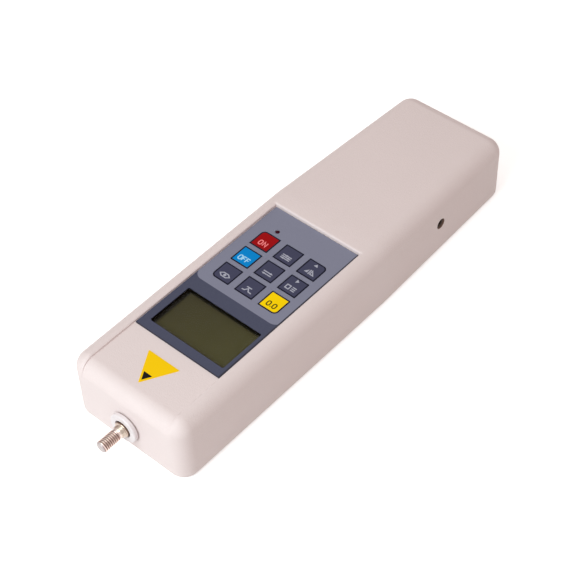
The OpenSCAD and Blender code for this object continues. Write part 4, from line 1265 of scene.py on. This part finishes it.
addPiece("charge_socket", makeSocket(socketForm), "charge_jack", ["jack_plastic"])


# Base cover, let into the rim from below
coverForm = {
    "inset": 5.8,
    "ease": 0.25,
    "screwHole": 1.65,
    "headHeight": 1.9,
    "headGap": 0.12,
    "standHole": 3.0,
    "overrun": 1.0,  # of the cutting shapes
    "steps": 40,
}


def makeCover(values):
    high = boxOf("base_cover")[1]
    stations = caseStations(caseColumns(), caseRows())
    inset, ease, gap, hole = values["inset"], values["ease"], values["headGap"], values["screwHole"]
    under, over = -values["overrun"], high.z + values["overrun"]
    levels = [(inset + ease, 0), (inset + ease * 0.3, ease * 0.3), (inset, ease), (inset, high.z)]
    shape = cleaned(layered(lambda drawnIn: [planPoint(s, drawnIn) for s in stations], levels))
    cuts = []
    for first, last in solidsOf("case_screws") + solidsOf("plate_screws"):
        head = (last.x - first.x) / 2 + gap
        sunk = lathe([(0, under), (head, under), (head, gap), (hole, values["headHeight"]), (hole, over),
                      (0, over)], values["steps"])
        cuts.append(moved(sunk, planMiddle(first, last)))
    for opening in record["physics"]["openings"]:
        if opening["name"].startswith("stand_hole"):
            first, last = (Vector(p) / mm for p in opening["box_m"])
            cuts.append(rod(values["standHole"], under, over, planMiddle(first, last)))
    return combined(shape, cuts, "DIFFERENCE")


addPiece("bottom_cover", makeCover(coverForm), "base_cover", ["cover_plastic"])
print("collar, stud, socket and cover made")


# CAD nodes that stay as they are take the finish of their slot
for node, part in frame["nodes"].items():
    part.data.materials.clear()
    part.data.materials.append(materials[slotOf[node]])
print("finishes given to the CAD pieces")


# Floor, light and backdrop
stageForm = {
    "floorColour": (0.82, 0.81, 0.80),
    "floorRough": 0.9,
    "floorSize": 6.0,  # metres from its middle to an edge
    "floorGlow": 0.55,
    "sky": 0.466,
    "skyColour": (1.0, 0.83, 0.79),
    "lampSize": 0.7,
    "lampAway": 1.1,
    # name: azimuth, elevation, power, colour
    "lamps": {"key light": (-2.0, 34.0, 8.2, (0.806, 0.953, 1.0)),
              "top light": (20.0, 75.0, 2.63, (0.85, 1.0, 0.99))},
}


# Where the camera, a reflection or clear glass looks straight at a surface
def seenDirectly(sheet):
    path = addNode(sheet, "ShaderNodeLightPath").outputs
    mirrored = calc(sheet, "ADD", path["Is Camera Ray"], path["Is Glossy Ray"])
    return calc(sheet, "ADD", mirrored, path["Is Transmission Ray"], clamp=True)


def addFloor(values):
    shape = bmesh.new()
    bmesh.ops.create_grid(shape, x_segments=1, y_segments=1, size=values["floorSize"])
    mesh = bpy.data.meshes.new("floor")
    shape.to_mesh(mesh)
    shape.free()
    floor = bpy.data.objects.new("floor", mesh)
    bpy.context.scene.collection.objects.link(floor)
    material = bpy.data.materials.new("floor")
    material.use_nodes = True
    sheet = material.node_tree
    shader = sheet.nodes["Principled BSDF"]
    shader.inputs["Base Color"].default_value = (*values["floorColour"], 1)
    shader.inputs["Roughness"].default_value = values["floorRough"]
    shader.inputs["Emission Color"].default_value = (1, 1, 1, 1)
    glow = calc(sheet, "MULTIPLY", seenDirectly(sheet), values["floorGlow"])
    sheet.links.new(glow, shader.inputs["Emission Strength"])
    mesh.materials.append(material)


def addLight(values):
    world = bpy.data.worlds.new("studio")
    bpy.context.scene.world = world
    world.use_nodes = True
    sheet = world.node_tree
    seen = seenDirectly(sheet)
    back = sheet.nodes["Background"]
    sheet.links.new(mixColours(sheet, seen, values["skyColour"], (1, 1, 1)), back.inputs["Color"])
    sheet.links.new(rangeOf(sheet, seen, 0.0, 1.0, values["sky"], 1.0), back.inputs["Strength"])
    for name, (azimuth, elevation, power, colour) in values["lamps"].items():
        way = wayTo(azimuth, elevation)
        lamp = bpy.data.lights.new(name, "AREA")
        lamp.energy = power
        lamp.size = values["lampSize"]
        lamp.color = colour
        holder = bpy.data.objects.new(name, lamp)
        holder.location = way * values["lampAway"]
        holder.rotation_mode = "QUATERNION"
        holder.rotation_quaternion = (-way).to_track_quat("-Z", "Y")
        bpy.context.scene.collection.objects.link(holder)


addFloor(stageForm)
addLight(stageForm)
bpy.context.scene.view_settings.view_transform = "Standard"
print("stage set")
